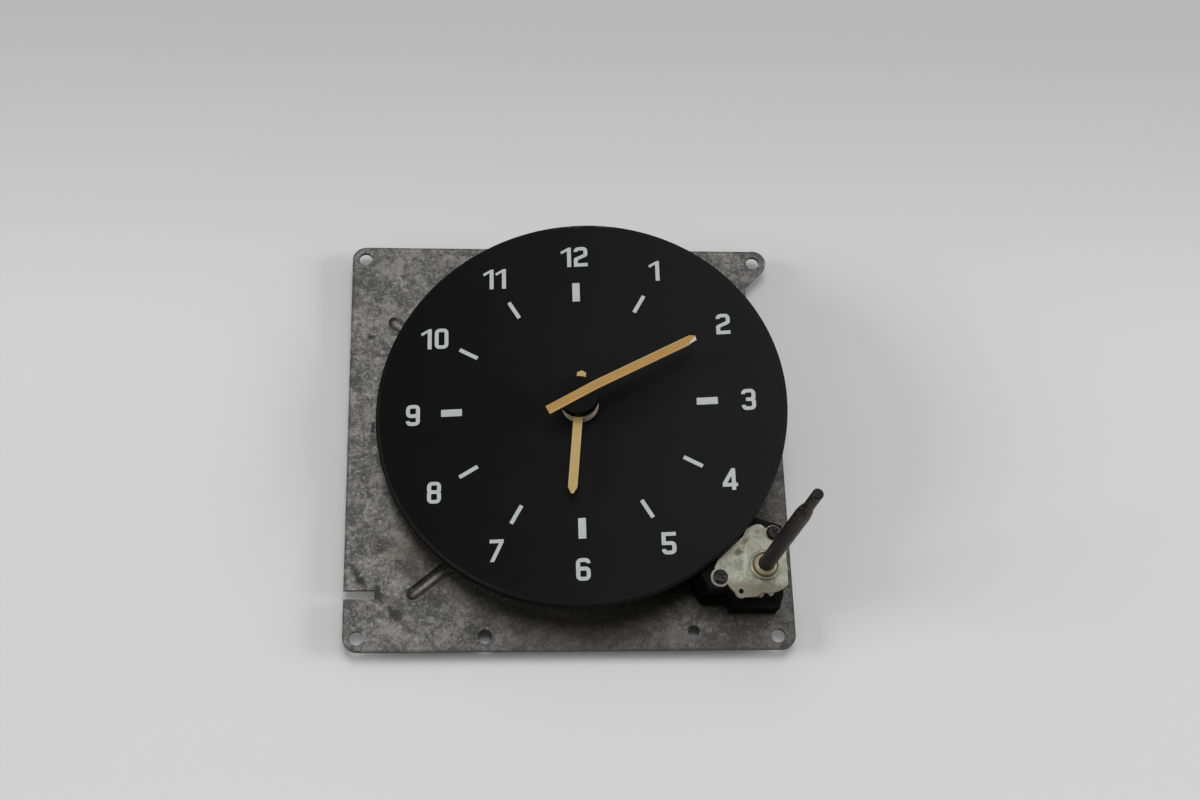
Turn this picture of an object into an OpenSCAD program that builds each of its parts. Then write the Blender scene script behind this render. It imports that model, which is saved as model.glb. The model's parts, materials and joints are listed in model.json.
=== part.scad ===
// Dashboard quartz clock unit.
// A round black dial stands inclined above a square galvanised base plate.
// Its stepper movement sits in a wedge-shaped carrier between the two.
// A push-and-turn setting shaft rises from a small gearbox at the lower right.
// Frame: X to the right, Y up the dial, Z out of the plate towards the reader.
// The origin is the centre of the four corner holes on the plate's front face.

/* [Base plate] */
// Distance between neighbouring corner holes
hole_pitch = 100; // [94:1:110]
// Diameter of the corner holes
hole_d = 3.4; // [2.8:0.1:4.4]
// Thickness of the sheet
plate_t = 1; // [0.8:0.1:1.6]
// Sheet beyond the hole centres at the left, top and bottom
plate_margin = 3.3; // [3:0.1:4.5]
// Sheet beyond the hole centres at the lower right
plate_margin_r = 4.2; // [3.5:0.1:5]
// Radius of the sheet's rounded corners
corner_r = 3.5; // [1.5:0.1:4]
// Width cut away from the upper right edge
step_w = 6.5; // [4:0.1:8]
// Height above the middle at which that cut starts
step_y = 16; // [10:1:20]
// Radius of the ear round the upper right hole
ear_r = 3.4; // [3:0.1:3.8]
// Width of the open slot in the left edge
slot_w = 2.2; // [1.5:0.1:3.5]
// Length of the open slot
slot_l = 7.3; // [4:0.1:9]
// Height of the slot below the middle
slot_y = 39.4; // [36:0.1:42]
// Width of the two pressed grooves
groove_w = 3.2; // [2:0.1:4]
// Length of the two pressed grooves
groove_l = 17; // [8:1:18]
// Depth of the two pressed grooves
groove_depth = 0.6; // [0.3:0.1:0.8]
// Diameter of the larger spare hole at the lower edge
spare_hole_d = 3.5; // [2.5:0.1:4]
// Diameter of the smaller spare hole at the lower edge
small_hole_d = 2.8; // [2:0.1:3.5]

/* [Dial] */
// Diameter of the dial
dial_d = 100; // [96:1:102]
// Thickness of the dial sheet
dial_t = 0.8; // [0.6:0.1:1]
// Depth of the turned-down rim
rim_depth = 2.4; // [1.5:0.1:2.6]
// Width of the rim's wall
rim_wall = 1; // [0.8:0.1:1.5]
// Dial centre to the right of the plate's middle
dial_x = 3.14; // [2:0.01:4]
// Dial centre above the plate's middle
dial_y = 4; // [3:0.01:5]
// Height of the dial's face over the plate at its centre
dial_h = 11.9; // [11.7:0.1:13]
// Inclination of the dial towards the driver, in degrees
dial_tilt = 7.5; // [6.5:0.1:7.9]
// Radius of the hole for the hand pipes
dial_hole_r = 3; // [2.7:0.1:3.6]

/* [Hands] */
// Width of the minute hand
minute_w = 2.25; // [1.8:0.05:2.6]
// Length of the minute hand from the arbor to its point
minute_l = 32; // [28:0.5:36]
// Width of the hour hand
hour_w = 2.2; // [1.8:0.05:2.8]
// Length of the hour hand from the arbor to its point
hour_l = 23.7; // [20:0.1:26]
// Length of the minute hand's tail
minute_tail_l = 8.3; // [6:0.1:9]
// Length of the hour hand's tail
hour_tail_l = 7.9; // [6:0.1:9]
// Thickness of both hand strips
hand_t = 0.35; // [0.3:0.05:0.5]
// Direction of the minute hand, anticlockwise from three o'clock
minute_dir = 27.4; // [0:0.1:60]
// Direction of the hour hand, anticlockwise from three o'clock
hour_dir = -95.5; // [-120:0.5:-60]
// Sideways bend of the minute hand past its hub
minute_bend = 1.2; // [0:0.1:4]
// Droop of the minute hand past its hub
minute_droop = 3.6; // [0:0.1:4]
// Radius of the hour hub
hour_hub_r = 4.45; // [4:0.05:5]
// Radius of the minute hub
minute_hub_r = 4.8; // [4.2:0.1:5.2]
// Height of the hour hub over the dial's face
hour_hub_z = 0.9; // [0.6:0.1:1.4]
// Thickness of the hour hub
hour_hub_t = 2.6; // [2:0.1:3]
// Gap between the hour hand and the minute hub
hub_gap = 1.25; // [0.8:0.05:1.6]
// Thickness of the minute hub
minute_hub_t = 2.6; // [2:0.1:3.2]

/* [Movement] */
// Radius of the carrier ring
carrier_r = 38; // [37:0.5:40]
// Radius of the front movement plate
front_r = 30; // [29.5:0.1:30.4]
// Thickness of the front movement plate
front_t = 1; // [0.8:0.1:1.2]
// Room for the motion work under the dial
motion_room = 2.4; // [2.4:0.1:2.8]
// Clear radius of the carrier below its ledge
well_r = 26; // [25.8:0.1:26.4]
// Distance between the movement plates
plates_gap = 5.4; // [5.4:0.1:5.7]
// Thickness of the rear movement plate
rear_t = 0.8; // [0.6:0.1:0.9]
// Radius of the centre arbor
arbor_r = 1.5; // [1.3:0.05:1.6]
// Radial clearance of a running fit
run_fit = 0.06; // [0.04:0.01:0.08]
// Radial clearance of a pressed fit
press_fit = 0.02; // [0.01:0.01:0.03]
// Radius of the third arbor's and rotor's pivots
pivot_r = 0.35; // [0.3:0.01:0.4]
// Thickness of a train wheel
wheel_t = 0.6; // [0.5:0.05:0.65]
// Radius of the rotor magnet
rotor_r = 2.6; // [2.2:0.1:2.8]
// Gap round the rotor magnet
rotor_gap = 0.5; // [0.3:0.05:0.5]
// Thickness of the stator
stator_t = 1; // [0.8:0.1:1]
// Radius of the coil
coil_r = 2.3; // [2:0.1:2.3]
// Thickness of the circuit board
board_t = 1; // [0.8:0.1:1]
// Depth of the rear cover behind the sheet
cover_depth = 3.4; // [3.3:0.1:5]
// Wall of the rear cover
cover_wall = 1; // [0.8:0.1:1.5]

/* [Gears] */
// Teeth of the cannon pinion
cannon_n = 15;
// Teeth of the minute wheel
minute_n = 45;
// Teeth of the minute wheel's pinion
minute_pinion_n = 12;
// Teeth of the hour wheel
hour_n = 48;
// Module of the motion work
motion_m = 0.3; // [0.28:0.01:0.3]
// Teeth of the centre wheel
centre_n = 60;
// Teeth of the third pinion and the rotor pinion
pinion_n = 10;
// Module of the centre wheel
centre_m = 0.25; // [0.24:0.01:0.25]
// Teeth of the third wheel
third_n = 50;
// Module of the third wheel
third_m = 0.2; // [0.19:0.01:0.2]

/* [Setting shaft] */
// Shaft axis to the right of the plate's middle
shaft_x = 44.8; // [44.5:0.1:45.2]
// Shaft axis below the plate's middle
shaft_y = 36.4; // [36:0.1:36.8]
// Lean of the shaft and its gearbox to the right, in degrees
shaft_lean = 4; // [3:0.1:5]
// Radius of the shaft
shaft_r = 1.85; // [1.6:0.05:1.9]
// Height of the shaft's tip over the plate
shaft_tip = 60.8; // [56:0.1:64]
// Radius of the shaft's thin end, which takes the knob
knob_r = 1.25; // [1:0.05:1.35]
// Length of the thin end
knob_l = 8.5; // [8:0.1:11]
// Length of the rounded shoulder below the thin end
cone_l = 5.6; // [2:0.1:7]
// Travel of the shaft when it is pushed in
push = 2; // [1.5:0.1:2]
// Height of the plated cover's top face
cover_h = 12; // [11.6:0.1:12.4]
// Thickness of the plated cover
cover_t = 0.7; // [0.5:0.1:1]
// Outer radius of the cover's collar
collar_r = 3.6; // [3.5:0.1:4.2]
// Height of the collar over the cover
collar_h = 0.8; // [0.4:0.1:1.2]
// Radius of the bush
bush_r = 3.1; // [2.9:0.1:3.2]
// Height of the bush's domed top over the cover
bush_h = 1.7; // [1.2:0.1:2.2]
// Teeth of the shaft wheel
shaft_n = 15;
// Teeth of the idler
idler_n = 12;
// Module of the setting wheels
set_m = 0.78; // [0.76:0.01:0.8]
// Direction of the idler from the shaft
idler_dir = 147; // [145:1:149]
// Middle of the shaft wheel over the plate
set_z = 8; // [7.8:0.1:8.2]
// Thickness of the shaft wheel
set_t = 1.6; // [1.2:0.1:1.8]

/* [Hidden] */
$fn = 48;
over = 0.5;

// Base plate outline
half = hole_pitch / 2;
left_x = -half - plate_margin;
top_y = half + plate_margin;
right_x = half + plate_margin_r;
step_x = right_x - step_w;
spare_hole_pos = [-19.9, 0.2 - half];
small_hole_pos = [29.7, 1.2 - half];
// Ends and directions of the pressed grooves, and the round tool that presses them
groove_low = [-36.9, -39.2, 39];
groove_high = [-42.4, 31.9, -36];
groove_tool_r = (groove_w * groove_w / 4 + groove_depth * groove_depth) / (2 * groove_depth);
// Point where the dial's axis crosses the plate's front face
axis_x = dial_x + dial_h * tan(dial_tilt);
axis_y = dial_y;

// Levels along the dial's axis, measured from the dial's face
dial_back = -dial_t;
front_top = dial_back - motion_room;
front_back = front_top - front_t;
rear_top = front_back - plates_gap;
rear_back = rear_top - rear_t;
hour_hand_z = hour_hub_z + hour_hub_t;
minute_hub_z = hour_hand_z + hand_t + hub_gap;
minute_hand_z = minute_hub_z + minute_hub_t;

// Levels of the motion work
layer = 0.35;
minute_wheel_z = front_top + 0.3;
hour_wheel_z = minute_wheel_z + wheel_t + layer;
motion_dist = (cannon_n + minute_n) * motion_m / 2;
motion_dir = 60;
pipe_wall = 0.64;
pipe_r = arbor_r + run_fit + pipe_wall;

// Going train
centre_dist = (centre_n + pinion_n) * centre_m / 2;
third_dist = (third_n + pinion_n) * third_m / 2;
centre_dir = 200;
third_dir = 260;
third_pos = centre_dist * [cos(centre_dir), sin(centre_dir)];
rotor_pos = third_pos + third_dist * [cos(third_dir), sin(third_dir)];
shake = 0.3;
third_wheel_z = front_back - 1.4;
third_pinion_l = 1.4;
centre_wheel_z = third_wheel_z - 0.5 - wheel_t;
magnet_l = 2.6;
magnet_z = centre_wheel_z - 2.1;
stator_z = centre_wheel_z - layer - stator_t;
core_t = 1.2;
core_z = stator_z - core_t;
pivot_l = 0.95;

// Movement pillars: three short ones and a long one for the board
pillar_pos = [[9.5, -5], [0, 11], [-15.5, 0.5]];
board_post = [18, 8];
pillar_r = 1.6;
tenon_r = 0.9;
coil_y = -15.8;
coil_ends = [-16.2, 0];
leg_w = 4;
screw_r = 0.75;
head_r = 1.4;
head_t = 0.9;

// Circuit board
board_gap = 1.2;
board_top = rear_back - board_gap;
board_back = board_top - board_t;
board_r = well_r - 0.7;
board_left = -5;
tongue = [7.5, 24, 29.5];
blade_w = 6.3;
blade_t = 0.8;
blade_x = [11.5, 20];
blade_start = 20.5;
blade_l = 21.5;
blade_tip = 1.2;
blade_hole_r = 0.8;
can_pos = [3, -19.5];
can_size = [10.5, 8.6, 3.6];
can_rim = 0.3;
chip_pos = [20, -4];
chip_size = [6.4, 9.6, 2.8];
leg_pitch = 2.54;
leg_size = [0.7, 0.5, 2];
cap_pos = [12.7, 5];
cap_r = 2.5;
cap_l = 10;

// Rear movement plate
rear_outline = [[13, -7.5], [13, -2], [2.5, 14.2], [-2.5, 14.2], [-19, 3.5], [-19, -2],
    [-12.5, -12.3], [-6, -12.3]];

// Carrier ring
counter_r = front_r + 0.3;
wall_mid = (counter_r + carrier_r) / 2;
foot_r = 1.25;
foot_l = 4;
foot_dirs = [30, 150, 270];
rear_dirs = [90, 210, 330];
plate_screw_dirs = [0, 120, 240];
plate_screw_r = (well_r + front_r) / 2;
grub_r = 1;
grub_l = 2.3;
grub_slot_w = 0.3;
grub_slot_d = 0.6;
grub_z = dial_back - 2;
pocket_wall = 1.7;
pocket_roof = 2.2;
pocket_turn = 30;
mouth_gap = 0.5;
mouth_h = blade_t + 0.9;
carrier_gap = 0.5;
rear_screw_r = 1.25;
rear_screw_l = 4.6;
rear_hole_r = rear_screw_r + 0.05;
pan_r = well_r + 5;
plate_hole_r = well_r + 2.5;
ear_pad_r = 3.6;
ear_pad_t = 1.5;
pan_ring_r = 21;
pan_ring_w = 2;
pan_ring_d = 0.4;

// Setting gearbox, in the frame of the leaning shaft
set_dist = (shaft_n + idler_n) * set_m / 2;
idler_pos = set_dist * [cos(idler_dir), sin(idler_dir)];
set_low = set_z - set_t / 2;
set_high = set_z + set_t / 2;
deck_h = set_low - push - 0.2;
housing_h = cover_h - cover_t;
set_add = 0.68;
wheel_pocket_r = (shaft_n / 2 + set_add) * set_m + 0.25;
idler_pocket_r = (idler_n / 2 + set_add) * set_m + 0.3;
floor_h = 1.2;
cup_t = 0.8;
cup_r = 3.2;
cup_z = set_low - 1.8;
well_cup_r = cup_r + 0.4;
pilot_r = 0.9;
pilot_end = push + 0.25;
boss_r = 1.9;
boss_h = cup_z - push - 0.3;
spring_wire = 0.4;
spring_turns = 3.5;
spring_r = boss_r + 0.3 + spring_wire / 2;
// Gearbox case, moved a little off the shaft's axis
case_shift = [0.35, 0.3];
unit_screw_pos = [case_shift + [-11.2, -3.35], case_shift + [2.27, 7.76]];
unit_screw_r = 1;
unit_head_r = 1.75;
unit_head_t = 0.9;
cross_l = 1.9;
cross_w = 0.45;
cross_d = 0.4;
idler_low = deck_h + 0.1;
idler_high = set_high + 0.2;
stud_r = 1;
deck_outline = [[-6.7, -8.5], [4.4, -8.5], [5.6, -5], [5.6, 7], [4.6, 10], [-1, 11.6], [-8, 13.4],
    [-13, 13.4], [-16.2, 9], [-15.6, -2.5], [-13.6, -6.2], [-7.8, -6.4]];
wall_outline = [[4.2, 6.2], [4.6, 10], [-1, 11.6], [-8, 13.4], [-13, 13.4], [-16.2, 9],
    [-15.6, -2.5], [-13.6, -5.9], [-9, -5.6], [-6.8, -7.6], [-4.9, -7.6], [-4.2, 0]];
cover_r = 6.9;
cover_cut_x = 5;
cover_edge = [[cover_cut_x, -3], [cover_cut_x, 3.5], [4.2, 8], [2.3, 9.2], [0.6, 9], [-2.6, 9.6],
    [-4.3, 8.6], [-5.2, 6.8], [-11.6, 0.7], [-12.5, -1.2], [-9.6, -4.9], [-7.6, -7.2], [-6.4, -8.1],
    [-2.4, -7.8], [0, -5]];
cover_nose = case_shift + [-1.3, 8.1];
cover_nose_r = 1.85;
cover_foot = case_shift + [-6.3, -6.8];
cover_foot_r = 1.45;
cover_hole = case_shift + [-6.39, -6.7];
cover_hole_r = 0.62;
cover_pad_r = [2.25, 2];
collar_edge = 0.2;
bush_step = 0.4;
bush_lip = 0.15;
tip_edge = 0.25;

// Stands the children on the inclined axis of the dial, face level at zero
module at_dial() {
    translate([dial_x, dial_y, dial_h])
        rotate([0, -dial_tilt, 0])
            children();
}

// Stands the children on the leaning axis of the setting shaft
module at_unit() {
    translate([shaft_x, -shaft_y, 0])
        rotate([0, shaft_lean, 0])
            children();
}

// Everything above the plate's front face
module above_plate() {
    translate([-2 * half, -2 * half, 0])
        cube([4 * half, 4 * half, dial_h * 3]);
}

// Copies the children round the axis at a radius, once for each direction
module ring(dirs, r) {
    for (a = dirs)
        rotate([0, 0, a])
            translate([r, 0, 0])
                children();
}

module tube(outer, inner, h) {
    difference() {
        cylinder(r = outer, h = h);
        translate([0, 0, -over])
            cylinder(r = inner, h = h + 2 * over);
    }
}

// Slotted screw: the head stands on z = 0 and the shank runs down
module slotted_screw(shank_r, shank_l, top_r, top_t) {
    difference() {
        union() {
            cylinder(r = top_r, h = top_t);
            translate([0, 0, -shank_l])
                cylinder(r = shank_r, h = shank_l + over / 2);
        }
        translate([-top_r - over, -top_r * 0.14, top_t * 0.55])
            cube([2 * (top_r + over), top_r * 0.28, top_t]);
    }
}

// Involute gear. The flank angle at a radius follows from the base circle.
pressure = 20;
function inv(a) = tan(a) * 180 / PI - a;
function flank(n, m, r, thin) =
    let (rp = n * m / 2, rb = rp * cos(pressure))
    90 / n - thin * 90 / (PI * rp) + inv(pressure) - inv(acos(min(1, rb / max(r, rb))));
function gear_points(n, m, add, thin) =
    let (rp = n * m / 2, tip = rp + add * m, root = rp - 1.2 * m)
    let (rb = max(root + 0.1 * m, rp * cos(pressure)))
    let (radii = n > 20 ? [root, rp, tip] : [root, rb, (rb + tip) / 2, tip])
    let (k = len(radii))
    [for (i = [0:n - 1]) for (s = [0:2 * k - 1])
        let (j = s < k ? s : 2 * k - 1 - s)
        let (a = flank(n, m, radii[j], thin) * (s < k ? -1 : 1) + i * 360 / n)
        radii[j] * [cos(a), sin(a)]];

// One toothed disc with a tooth towards the given direction
module gear(n, m, h, dir, add = 0.8, thin = 0.2) {
    rotate([0, 0, dir])
        linear_extrude(height = h)
            polygon(gear_points(n, m, add, thin * m));
}

// The same with a gap towards the given direction
module gear_gap(n, m, h, dir, add = 0.8, thin = 0.2) {
    gear(n, m, h, dir + 180 / n, add, thin);
}

// Round-ended bar that lies over the plate and dips into it by the grooves' depth
module groove_tool(g) {
    translate([g[0], g[1], groove_tool_r - groove_depth])
        rotate([0, 0, g[2]]) {
            sphere(r = groove_tool_r);
            rotate([0, 90, 0])
                cylinder(r = groove_tool_r, h = groove_l);
            translate([groove_l, 0, 0])
                sphere(r = groove_tool_r);
        }
}

// Base plate
module base_plate() {
    color([0.55, 0.56, 0.56])
    difference() {
        union() {
            translate([0, 0, -plate_t])
                linear_extrude(height = plate_t)
                    plate_outline();
            for (g = [groove_low, groove_high])
                intersection() {
                    translate([0, 0, -plate_t])
                        groove_tool(g);
                    translate([-half, -half, -plate_t - 2 * groove_depth])
                        cube([half, 2 * half, 2.3 * groove_depth]);
                }
        }
        for (g = [groove_low, groove_high])
            groove_tool(g);
        for (sx = [-1, 1]) for (sy = [-1, 1])
            translate([sx * half, sy * half, -plate_t - over])
                cylinder(d = hole_d, h = plate_t + 2 * over);
        translate([spare_hole_pos[0], spare_hole_pos[1], -plate_t - over])
            cylinder(d = spare_hole_d, h = plate_t + 2 * over);
        translate([small_hole_pos[0], small_hole_pos[1], -plate_t - over])
            cylinder(d = small_hole_d, h = plate_t + 2 * over);
        translate([left_x - over, -slot_y - slot_w / 2, -plate_t - over])
            cube([slot_l + over, slot_w, plate_t + 2 * over]);
        translate([axis_x, axis_y, -plate_t - over])
            cylinder(r = plate_hole_r, h = plate_t + 2 * over, $fn = 96);
        translate([axis_x, axis_y, -plate_t - over])
            ring(rear_dirs, wall_mid)
                cylinder(r = rear_screw_r + 0.3, h = plate_t + 2 * over);
        at_unit()
            for (p = unit_screw_pos)
                translate([p[0], p[1], -plate_t * 2])
                    cylinder(r = unit_screw_r + 0.05, h = plate_t * 4);
    }
}

module plate_outline() {
    difference() {
        union() {
            translate([left_x + corner_r, -top_y])
                square([right_x - left_x - 2 * corner_r, 2 * top_y]);
            translate([left_x, -top_y + corner_r])
                square([right_x - left_x, 2 * (top_y - corner_r)]);
            for (x = [left_x + corner_r, right_x - corner_r])
                translate([x, -top_y + corner_r])
                    circle(r = corner_r);
            translate([left_x + corner_r, top_y - corner_r])
                circle(r = corner_r);
        }
        // upper right edge, stepped in, with the hole's ear left standing
        polygon([[step_x, step_y], [right_x + over, step_y], [right_x + over, top_y + over],
            [half + 0.1, top_y + over], [half + 0.1, half], [half + ear_r * 0.7, half - ear_r * 0.7],
            [step_x, half - ear_r * 1.4 - (half - step_x)]]);
    }
    translate([half, half])
        circle(r = ear_r);
}

// Dial
module dial() {
    color([0.09, 0.09, 0.09])
    at_dial()
        difference() {
            rotate_extrude($fn = 128)
                polygon([[0, -dial_t], [dial_d / 2 - rim_wall, -dial_t],
                    [dial_d / 2 - rim_wall, -rim_depth], [dial_d / 2 - 0.15, -rim_depth],
                    [dial_d / 2, -rim_depth + 0.15], [dial_d / 2, -0.35],
                    [dial_d / 2 - 0.1, -0.1], [dial_d / 2 - 0.35, 0], [0, 0]]);
            translate([0, 0, -dial_t - over])
                cylinder(r = dial_hole_r, h = dial_t + 2 * over);
        }
}

// Dial feet, riveted under the dial
module dial_feet() {
    color([0.62, 0.63, 0.64])
    at_dial()
        ring(foot_dirs, wall_mid)
            translate([0, 0, dial_back - foot_l])
                cylinder(r = foot_r, h = foot_l);
}

// Grub screws that hold the dial feet
module foot_screws() {
    color([0.3, 0.3, 0.32])
    at_dial()
        ring(foot_dirs, wall_mid + foot_r + 0.05)
            translate([0, 0, grub_z])
                rotate([0, 90, 0])
                    difference() {
                        cylinder(r = grub_r, h = grub_l);
                        translate([-grub_r, -grub_slot_w / 2, grub_l - grub_slot_d])
                            cube([2 * grub_r, grub_slot_w, grub_slot_d + over]);
                    }
}

// Movement carrier: a moulded ring, flat under the dial and flat on the plate
module movement_carrier() {
    color([0.12, 0.12, 0.13])
    difference() {
        intersection() {
            at_dial()
                translate([0, 0, dial_back - 2 * dial_h])
                    cylinder(r = carrier_r, h = 2 * dial_h, $fn = 96);
            above_plate();
        }
        at_dial() {
            translate([0, 0, -3 * dial_h])
                cylinder(r = well_r, h = 3 * dial_h, $fn = 96);
            translate([0, 0, front_back])
                cylinder(r = counter_r, h = dial_h, $fn = 96);
            ring(foot_dirs, wall_mid)
                translate([0, 0, dial_back - foot_l - 0.3])
                    cylinder(r = foot_r + 0.05, h = foot_l + 1);
            ring(foot_dirs, wall_mid)
                translate([0, 0, grub_z])
                    rotate([0, 90, 0])
                        cylinder(r = grub_r + 0.03, h = carrier_r - wall_mid + over);
            ring(plate_screw_dirs, plate_screw_r)
                translate([0, 0, front_back - 5])
                    cylinder(r = screw_r + 0.03, h = 5 + over);
            // moulding pockets between the bosses, open towards the plate
            for (a = [0, 120, 180, 240, 300])
                rotate([0, 0, a - pocket_turn / 2])
                    rotate_extrude(angle = pocket_turn, $fn = 96)
                        translate([counter_r + pocket_wall, -2 * dial_h])
                            square([carrier_r - counter_r - 2 * pocket_wall,
                                2 * dial_h - dial_t - pocket_roof]);
            // mouth for the terminals
            translate([tongue[0] - mouth_gap, board_r / 2 - mouth_gap, board_top + mouth_h - 2 * dial_h])
                cube([tongue[1] - tongue[0] + 2 * mouth_gap, carrier_r, 2 * dial_h]);
        }
        translate([axis_x, axis_y, -over])
            ring(rear_dirs, wall_mid)
                cylinder(r = rear_hole_r, h = rear_screw_l + over);
    }
}

// Front movement plate
module front_plate() {
    color([0.72, 0.58, 0.3])
    at_dial()
        difference() {
            translate([0, 0, front_back])
                cylinder(r = front_r, h = front_t, $fn = 96);
            translate([0, 0, front_back - over]) {
                cylinder(r = arbor_r + run_fit, h = front_t + 2 * over);
                pivot_holes(front_t);
                for (p = concat(pillar_pos, [board_post], stator_posts_at()))
                    translate(p)
                        cylinder(r = tenon_r + press_fit, h = front_t + 2 * over);
                translate(stud_at())
                    cylinder(r = 0.6 + press_fit, h = front_t + 2 * over);
                ring(plate_screw_dirs, plate_screw_r)
                    cylinder(r = screw_r + 0.1, h = front_t + 2 * over);
            }
        }
}

function stud_at() = motion_dist * [cos(motion_dir), sin(motion_dir)];
function stator_posts_at() = [for (x = coil_ends) [x, coil_y]];

module pivot_holes(t) {
    for (p = [third_pos, rotor_pos])
        translate(p)
            cylinder(r = pivot_r + run_fit, h = t + 2 * over);
}

// Screws that hold the front movement plate on the carrier's ledge
module plate_screws() {
    color([0.7, 0.7, 0.72])
    at_dial()
        ring(plate_screw_dirs, plate_screw_r)
            translate([0, 0, front_top])
                slotted_screw(screw_r, front_t + 4, head_r, head_t);
}

// Pillar with a riveted tenon in the front plate
module pillar(z_low, bore_l) {
    difference() {
        union() {
            translate([0, 0, z_low])
                cylinder(r = pillar_r, h = front_back - z_low);
            translate([0, 0, front_back - over])
                cylinder(r = tenon_r, h = front_t + over);
        }
        translate([0, 0, z_low - over])
            cylinder(r = screw_r - 0.1, h = bore_l + over);
    }
}

module pillars() {
    color([0.74, 0.6, 0.32])
    at_dial() {
        for (p = pillar_pos)
            translate(p)
                pillar(rear_top, 3);
        translate(board_post)
            pillar(board_top, 3);
    }
}

// Rear movement plate
module rear_plate() {
    color([0.72, 0.58, 0.3])
    at_dial()
        difference() {
            translate([0, 0, rear_back])
                linear_extrude(height = rear_t)
                    polygon(rear_outline);
            translate([0, 0, rear_back - over]) {
                cylinder(r = 0.8 + run_fit, h = rear_t + 2 * over);
                pivot_holes(rear_t);
                for (p = pillar_pos)
                    translate(p)
                        cylinder(r = screw_r + 0.05, h = rear_t + 2 * over);
            }
        }
}

// Pillar screws: two carry the board on spacers, one the plate alone
module pillar_screws() {
    color([0.7, 0.7, 0.72])
    at_dial() {
        for (p = [pillar_pos[0], pillar_pos[1]])
            translate([p[0], p[1], board_back])
                rotate([180, 0, 0])
                    slotted_screw(screw_r - 0.13, board_t + board_gap + rear_t + 2, head_r, head_t);
        translate([board_post[0], board_post[1], board_back])
            rotate([180, 0, 0])
                slotted_screw(screw_r - 0.13, board_t + 2, head_r, head_t);
        translate([pillar_pos[2][0], pillar_pos[2][1], rear_back])
            rotate([180, 0, 0])
                slotted_screw(screw_r - 0.13, rear_t + 2, head_r, head_t);
    }
}

module board_spacers() {
    color([0.85, 0.85, 0.82])
    at_dial()
        for (p = [pillar_pos[0], pillar_pos[1]])
            translate([p[0], p[1], board_top])
                tube(pillar_r, screw_r + 0.1, board_gap);
}

// Circuit board with a tongue for the terminals
module circuit_board() {
    color([0.15, 0.35, 0.2])
    at_dial()
        difference() {
            translate([0, 0, board_back])
                linear_extrude(height = board_t)
                    union() {
                        difference() {
                            circle(r = board_r, $fn = 96);
                            translate([-2 * board_r + board_left, -board_r])
                                square([2 * board_r, 2 * board_r]);
                        }
                        translate([tongue[0], board_r / 2])
                            square([tongue[1] - tongue[0], tongue[2] - board_r / 2]);
                    }
            for (p = [pillar_pos[0], pillar_pos[1], board_post])
                translate([p[0], p[1], board_back - over])
                    cylinder(r = screw_r + 0.05, h = board_t + 2 * over);
        }
}

// Quartz can, lying on the board
module quartz_can() {
    color([0.75, 0.75, 0.77])
    at_dial()
        translate([can_pos[0], can_pos[1], board_top])
            union() {
                cube(can_size);
                translate([-can_rim, can_size[1], 0])
                    cube([can_size[0] + 2 * can_rim, 2 * can_rim, can_size[2] + can_rim]);
            }
}

// Driver chip with its eight legs
module driver_chip() {
    color([0.1, 0.1, 0.1])
    at_dial()
        translate([chip_pos[0], chip_pos[1], board_top]) {
            translate([-chip_size[0] / 2, -chip_size[1] / 2, leg_size[1]])
                cube(chip_size);
            for (k = [-1.5:1.5], s = [-1, 1])
                translate([s * (chip_size[0] + 0.6) / 2 - leg_size[0] / 2,
                        k * leg_pitch - leg_size[1] / 2, 0])
                    cube(leg_size);
        }
}

// Smoothing capacitor, lying on the board
module capacitor() {
    color([0.16, 0.2, 0.4])
    at_dial()
        translate([cap_pos[0], cap_pos[1], board_top + cap_r])
            rotate([-90, 0, 0])
                union() {
                    cylinder(r = cap_r, h = cap_l / 10);
                    translate([0, 0, cap_l / 10])
                        cylinder(r = cap_r * 0.9, h = cap_l / 20);
                    translate([0, 0, cap_l * 0.15])
                        cylinder(r = cap_r, h = cap_l * 0.85);
                }
}

// Blade terminals on the board's tongue
module terminals() {
    color([0.75, 0.72, 0.6])
    at_dial()
        for (x = blade_x)
            translate([x - blade_w / 2, blade_start, board_top])
                linear_extrude(height = blade_t)
                    difference() {
                        polygon([[0, 0], [blade_w, 0], [blade_w, blade_l - blade_tip],
                            [blade_w - blade_tip, blade_l], [blade_tip, blade_l],
                            [0, blade_l - blade_tip]]);
                        translate([blade_w / 2, blade_l - 5 * blade_hole_r])
                            circle(r = blade_hole_r);
                    }
}

// Stator plate round the rotor, with a leg to each end of the coil core
module stator() {
    color([0.5, 0.5, 0.53])
    at_dial()
        difference() {
            translate([0, 0, stator_z])
                linear_extrude(height = stator_t)
                    union() {
                        translate([coil_ends[0] - leg_w / 2, rotor_pos[1] - 4.1])
                            square([coil_ends[1] - coil_ends[0] + leg_w, 8]);
                        for (x = coil_ends)
                            translate([x - leg_w / 2, coil_y - leg_w / 2])
                                square([leg_w, rotor_pos[1] - coil_y]);
                    }
            translate([rotor_pos[0], rotor_pos[1], stator_z - over])
                cylinder(r = rotor_r + rotor_gap, h = stator_t + 2 * over);
            for (x = coil_ends)
                translate([x, coil_y, stator_z - over])
                    cylinder(r = screw_r + 0.05, h = stator_t + 2 * over);
        }
}

module stator_posts() {
    color([0.74, 0.6, 0.32])
    at_dial()
        for (p = stator_posts_at())
            translate(p)
                pillar(stator_z + stator_t, 2);
}

module coil_core() {
    color([0.5, 0.5, 0.53])
    at_dial()
        difference() {
            translate([coil_ends[0] - leg_w / 2, coil_y - leg_w / 2 + 0.4, core_z])
                cube([coil_ends[1] - coil_ends[0] + leg_w, leg_w - 0.8, core_t]);
            for (x = coil_ends)
                translate([x, coil_y, core_z - over])
                    cylinder(r = screw_r + 0.05, h = core_t + 2 * over);
        }
}

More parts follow.
